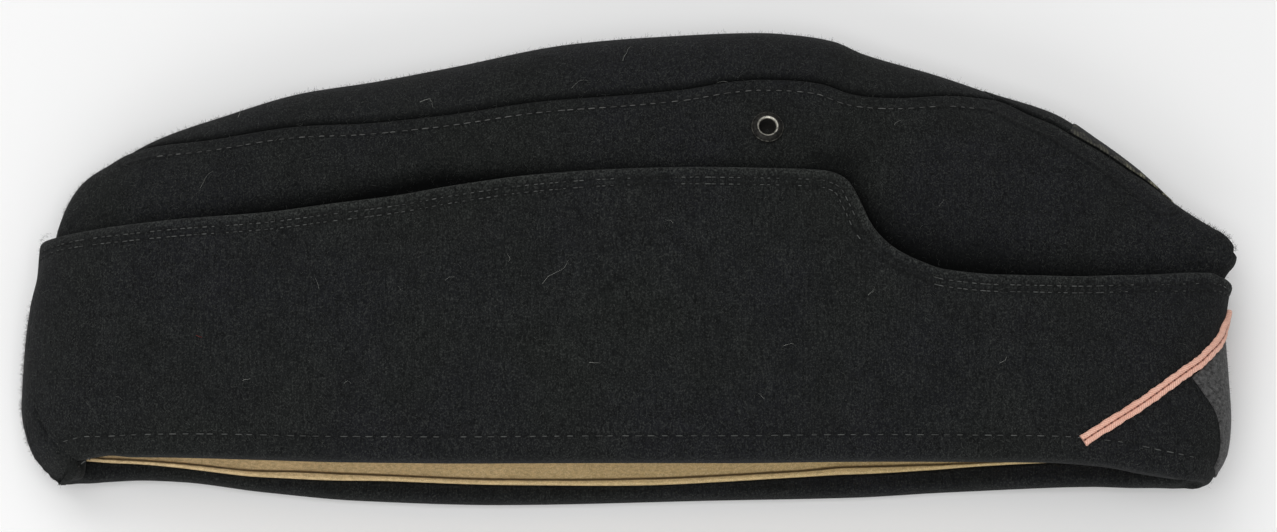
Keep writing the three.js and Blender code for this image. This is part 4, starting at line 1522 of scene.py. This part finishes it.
@dataclass
class LooseFibres:
    """Short nap hairs that stand off the wool, and the lint that clings to it."""

    form: HeadForm
    nap_hair: bpy.types.Material
    dark_hair: bpy.types.Material
    pale_hair: bpy.types.Material
    red_hair: bpy.types.Material
    seed: int = 7
    bends: int = 5
    nap_radius: float = 0.022
    lint_radius: float = 0.035
    red_radius: float = 0.05
    lint: tuple[tuple[float, float, float, float], ...] = (
        (-104.5, 73.0, 5.2, 60), (-19.0, 47.5, 8.6, 64), (-101.0, 36.5, 1.6, 0), (-90.0, 25.5, 2.0, 25),
        (-66.0, 24.5, 2.2, 70), (-120.5, 23.0, 1.8, 40), (-52.5, 93.5, 4.8, 15), (-15.0, 96.5, 4.4, 50),
        (-4.0, 103.5, 4.0, 110), (-98.0, 90.5, 2.6, 80), (-42.0, 48.5, 2.4, 30), (-52.0, 46.0, 2.0, 120),
        (-27.0, 53.0, 2.2, 75), (-72.0, 47.0, 2.6, 95), (12.0, 62.0, 2.2, 130), (38.0, 33.0, 2.4, 20),
        (58.0, 45.0, 2.8, 55), (76.0, 68.0, 2.4, 100), (89.0, 29.5, 2.6, 35), (33.0, 20.5, 2.0, 150),
        (-8.0, 29.0, 2.4, 10), (64.0, 88.0, 2.2, 65), (23.0, 98.0, 2.6, 140), (104.0, 47.0, 2.0, 85),
    )

    def curl(
        self, start: np.ndarray, heading: np.ndarray, length: np.ndarray, rng: np.random.Generator
    ) -> np.ndarray:
        """Bent lines in the plane.

        Args:
            start: Where each line starts: lines, xy.
            heading: The way that each one starts, in radians.
            length: The length of each one.
            rng: The source of its bends.

        Returns:
            The points: lines, points, xy.
        """
        turn = rng.normal(0, 0.45, (len(start), self.bends - 1)).cumsum(axis=1) + heading[:, None]
        step = np.stack([np.cos(turn), np.sin(turn)], axis=-1) * (length / (self.bends - 1))[:, None, None]
        first = np.zeros((len(start), 1, 2))
        return start[:, None] + np.concatenate([first, step.cumsum(axis=1)], axis=1)

    def lay(
        self,
        name: str,
        lines: np.ndarray,
        lift: np.ndarray,
        depth: DepthOf,
        radius: float,
        hair: bpy.types.Material,
    ) -> bpy.types.Object:
        """Lays bent hairs on the cloth of the right side.

        Args:
            name: The name of the bundle.
            lines: Their lines on the flattened side: hairs, points, xy.
            lift: How far each point stands off the cloth, in millimetres.
            depth: The cloth's depth at a turn and fold.
            radius: The radius of a hair, in millimetres.
            hair: Its finish.

        Returns:
            The new object.
        """
        turn, fold = from_plan(self.form, lines, Side.RIGHT)
        points = self.form.place(turn, fold, depth(turn, fold) + lift)
        outward = self.form.outward(turn, fold)
        radii = np.broadcast_to(np.linspace(1, 0.45, lines.shape[1])[None, :] * radius * MM, lift.shape)
        return fit(tube_bundle(name, points, outward, radii, hair, 3))

    def spread(self, name: str, count: int, high: bool, depth: DepthOf) -> None:
        """Spreads short nap hairs over the crown or the turn-up.

        Args:
            name: The name of the bundle.
            count: How many hairs to try.
            high: Whether they lie on the crown, above the turn-up's edge.
            depth: The cloth's depth at a turn and fold.
        """
        form = self.form
        rng = np.random.default_rng(self.seed + count)
        along = rng.uniform(0.004, 0.996, count)
        x = form.half_length * (2 * along - 1)
        edge, crest = form.crown_height * form.edge(along), form.crown_height * form.crest(along)
        low, top = (edge + 2.0, crest - 0.2) if high else (form.hem(turn_of(along)) + 1.0, edge - 1.2)
        height = low + (top - low) * rng.uniform(0, 1, count)
        start = np.stack([x, height], axis=1)[top > low + 1.0]
        number = len(start)
        lines = self.curl(start, rng.uniform(0, 2 * math.pi, number), rng.uniform(0.5, 1.7, number), rng)
        edge_cap = form.crown_height * form.crest((lines[..., 0] / form.half_length + 1) / 2) - 0.05
        lines[..., 1] = np.minimum(lines[..., 1], edge_cap)
        lift = np.linspace(0, 1, self.bends)[None, :] * rng.uniform(0.1, 0.6, number)[:, None]
        self.lay(name, lines, lift, depth, self.nap_radius, self.nap_hair)

    def fringe(self, name: str, count: int, turns: np.ndarray, folds: np.ndarray, depth: DepthOf) -> None:
        """Stands nap hairs off the outline, where they show against the floor.

        Args:
            name: The name of the bundle.
            count: How many hairs.
            turns: The turns along the outline.
            folds: The fold at each of those turns.
            depth: The cloth's depth at a turn and fold.
        """
        form = self.form
        rng = np.random.default_rng(self.seed + count)
        at = rng.uniform(0, len(turns) - 1, count)
        turn = np.interp(at, np.arange(len(turns)), turns)
        fold = np.interp(at, np.arange(len(folds)), folds) + rng.uniform(-0.04, 0.04, count)
        root = form.place(turn, fold, depth(turn, fold) - 0.1)
        outward = form.outward(turn, fold)
        lean = rng.normal(0, 0.7, (count, 3))
        bend = rng.normal(0, 0.5, (count, 3))
        way = outward + lean
        way /= np.linalg.norm(way, axis=1, keepdims=True)
        share = np.linspace(0, 1, self.bends)[None, :, None]
        length = rng.uniform(0.25, 1.0, count)[:, None, None] * MM
        points = root[:, None] + (way[:, None] * share + bend[:, None] * share**2 * 0.5) * length
        points[..., 2] = np.maximum(points[..., 2], form.rest_height * MM)
        lifts = np.broadcast_to(np.cross(way, (0.3, 0.5, 0.8))[:, None], points.shape)
        radii = np.broadcast_to(np.linspace(0.024, 0.012, self.bends) * MM, points.shape[:2])
        fit(tube_bundle(name, points, lifts, radii, self.dark_hair, 3))

    def scatter(self, crown: Crown, turn_up: TurnUp) -> None:
        """Lays every fibre: the nap, the fringe on the outline and the lint.

        Args:
            crown: The crown, whose face carries some of them.
            turn_up: The turn-up, whose face carries the rest.
        """
        self.spread("crown_nap", 2600, True, crown.face)
        self.spread("turn_up_nap", 4200, False, turn_up.face)
        around = np.linspace(0.03, math.pi - 0.03, 400)
        self.fringe("crest_fringe", 2600, around, 0 * around + 0.02, crown.face)
        edge = self.form.fold_of_height(around, self.form.edge_height(around) - 1.2)
        self.fringe("edge_fringe", 1500, around, edge, turn_up.face)
        for place, number in ((0.02, 900), (math.pi - 0.02, 900)):
            folds = np.linspace(0.62, 0.96, 60)
            self.fringe(f"fold_fringe_{number + int(place)}", number, 0 * folds + place, folds, turn_up.face)
        rows = np.array(self.lint)
        rng = np.random.default_rng(self.seed)
        lines = self.curl(rows[:, :2], np.radians(rows[:, 3]), rows[:, 2], rng)
        lift = 0.12 + 0.25 * np.sin(np.linspace(0, math.pi, self.bends))[None, :] + 0 * rows[:, :1]
        edge = self.form.crown_height * self.form.edge((rows[:, 0] / self.form.half_length + 1) / 2)
        high = rows[:, 1] > edge
        red = np.arange(len(rows)) == 2
        self.lay("crown_lint", lines[high], lift[high], crown.face, self.lint_radius, self.pale_hair)
        low = ~high & ~red
        self.lay("turn_up_lint", lines[low], lift[low], turn_up.face, self.lint_radius, self.pale_hair)
        self.lay("red_lint", lines[red], lift[red], turn_up.face, self.red_radius, self.red_hair)


@dataclass(frozen=True)
class SoftLamp:
    """A wide soft lamp that shines on the cap."""

    name: str
    place: tuple[float, float, float]
    power: float
    width: float = 1.2
    depth: float = 0.9

    def hang(self) -> bpy.types.Object:
        """Hangs the lamp in its place.

        Returns:
            The new lamp.
        """
        lamp = bpy.data.lights.new(self.name, "AREA")
        lamp.shape = "RECTANGLE"
        lamp.size = self.width
        lamp.size_y = self.depth
        lamp.energy = self.power
        hung = bpy.data.objects.new(self.name, lamp)
        hung.location = self.place
        hung.rotation_euler = (-Vector(self.place)).to_track_quat("-Z", "Y").to_euler()
        bpy.context.scene.collection.objects.link(hung)
        return hung


@dataclass
class Studio:
    """The pale floor, the soft lights and the camera."""

    lens: float = 100.0
    distance: float = 0.855
    elevation: float = math.radians(77)
    aim: tuple[float, float, float] = (0.0022, -0.0018, 0.018)
    floor_shade: tuple[float, float, float] = (247, 247, 247)
    lamps: tuple[SoftLamp, ...] = (
        SoftLamp("crown_side_lamp", (-0.35, 0.75, 0.95), 4.9),
        SoftLamp("overhead_lamp", (-0.06, -0.2, 1.3), 6.6),
        SoftLamp("hem_side_lamp", (-0.15, -1.0, 0.5), 5.5),
    )
    sky: float = 0.38

    def floor(self) -> bpy.types.Object:
        """A plain pale floor.

        Returns:
            The new floor.
        """
        bpy.ops.mesh.primitive_plane_add(size=8.0, location=(0, 0, 0))
        made = bpy.context.object
        made.name = "studio_floor"
        nodes = Nodes.named("studio_paper")
        soft = nodes.noise(90.0, 2.0)
        darker = shade(*(c - 2 for c in self.floor_shade))
        color = nodes.mix(soft.over(0.2, 0.8), shade(*self.floor_shade), darker)
        made.data.materials.append(nodes.finished({"Base Color": color, "Roughness": 0.9}))
        return made

    def lights(self) -> None:
        """Soft light from all round, with a wide soft lamp above the crown's side."""
        world = bpy.data.worlds.new("studio_sky")
        world.use_nodes = True
        back = world.node_tree.nodes["Background"]
        back.inputs["Color"].default_value = (1.0, 1.0, 1.0, 1.0)
        back.inputs["Strength"].default_value = self.sky
        bpy.context.scene.world = world
        for lamp in self.lamps:
            lamp.hang()

    def camera(self) -> bpy.types.Object:
        """The camera at the photograph's angle.

        Returns:
            The new camera, set as the scene's camera.
        """
        data = bpy.data.cameras.new("camera")
        data.lens = self.lens
        data.sensor_width = 36.0
        made = bpy.data.objects.new("camera", data)
        away = Vector((0.0, -math.cos(self.elevation), math.sin(self.elevation)))
        made.location = Vector(self.aim) + away * self.distance
        made.rotation_euler = (-away).to_track_quat("-Z", "Y").to_euler()
        bpy.context.scene.collection.objects.link(made)
        bpy.context.scene.camera = made
        bpy.context.scene.view_settings.view_transform = "Standard"
        return made


def main() -> None:
    """Builds the sub-assemblies in order and reports each piece."""
    logging.basicConfig(level=logging.INFO, format="%(message)s")
    studio = Studio()
    studio.floor()
    studio.lights()
    studio.camera()
    form = HeadForm()
    thread = Thread("black_sewing_thread", (88, 89, 87)).material()
    edge_thread = Thread("faded_black_thread", (80, 82, 80)).material()
    crown_wool = FulledWool("crown_wool", (StitchGroove("seam", 3.1, 2.52),), painted_shade=True).material()
    turned_wool = FulledWool("turned_wool", (
        StitchGroove("edge", 2.8, 1.8, 0.7),
        StitchGroove("edge", 4.4, 1.8, 0.7),
        StitchGroove("hem", 6.0, 3.15, 0.8, 0.8),
    )).material()
    crown = Crown(form, crown_wool, thread)
    eyelets = VentEyelet(form, TarnishedNickel().material())
    turn_up = TurnUp(form, turned_wool, edge_thread)
    for side in Side:
        crown.panel(side, eyelets.pose(side)[0])
        eyelets.build(side)
        turn_up.build(side)
    crown.top()
    Lining(form, TanLining().material()).build()
    BraidChevron(form, SalmonBraid().material()).build()
    FrontLozenge(form, GreyFelt().material()).build()
    CrownPatch(form, WovenPatch().material()).build()
    nap_hair = Thread("black_wool_hair", (84, 86, 83)).material()
    dark_hair = Thread("outline_wool_hair", (40, 41, 40)).material()
    pale_hair = Thread("pale_lint", (168, 170, 164)).material()
    red_hair = Thread("red_lint", (150, 44, 40)).material()
    LooseFibres(form, nap_hair, dark_hair, pale_hair, red_hair).scatter(crown, turn_up)


if __name__ == "__main__":
    main()
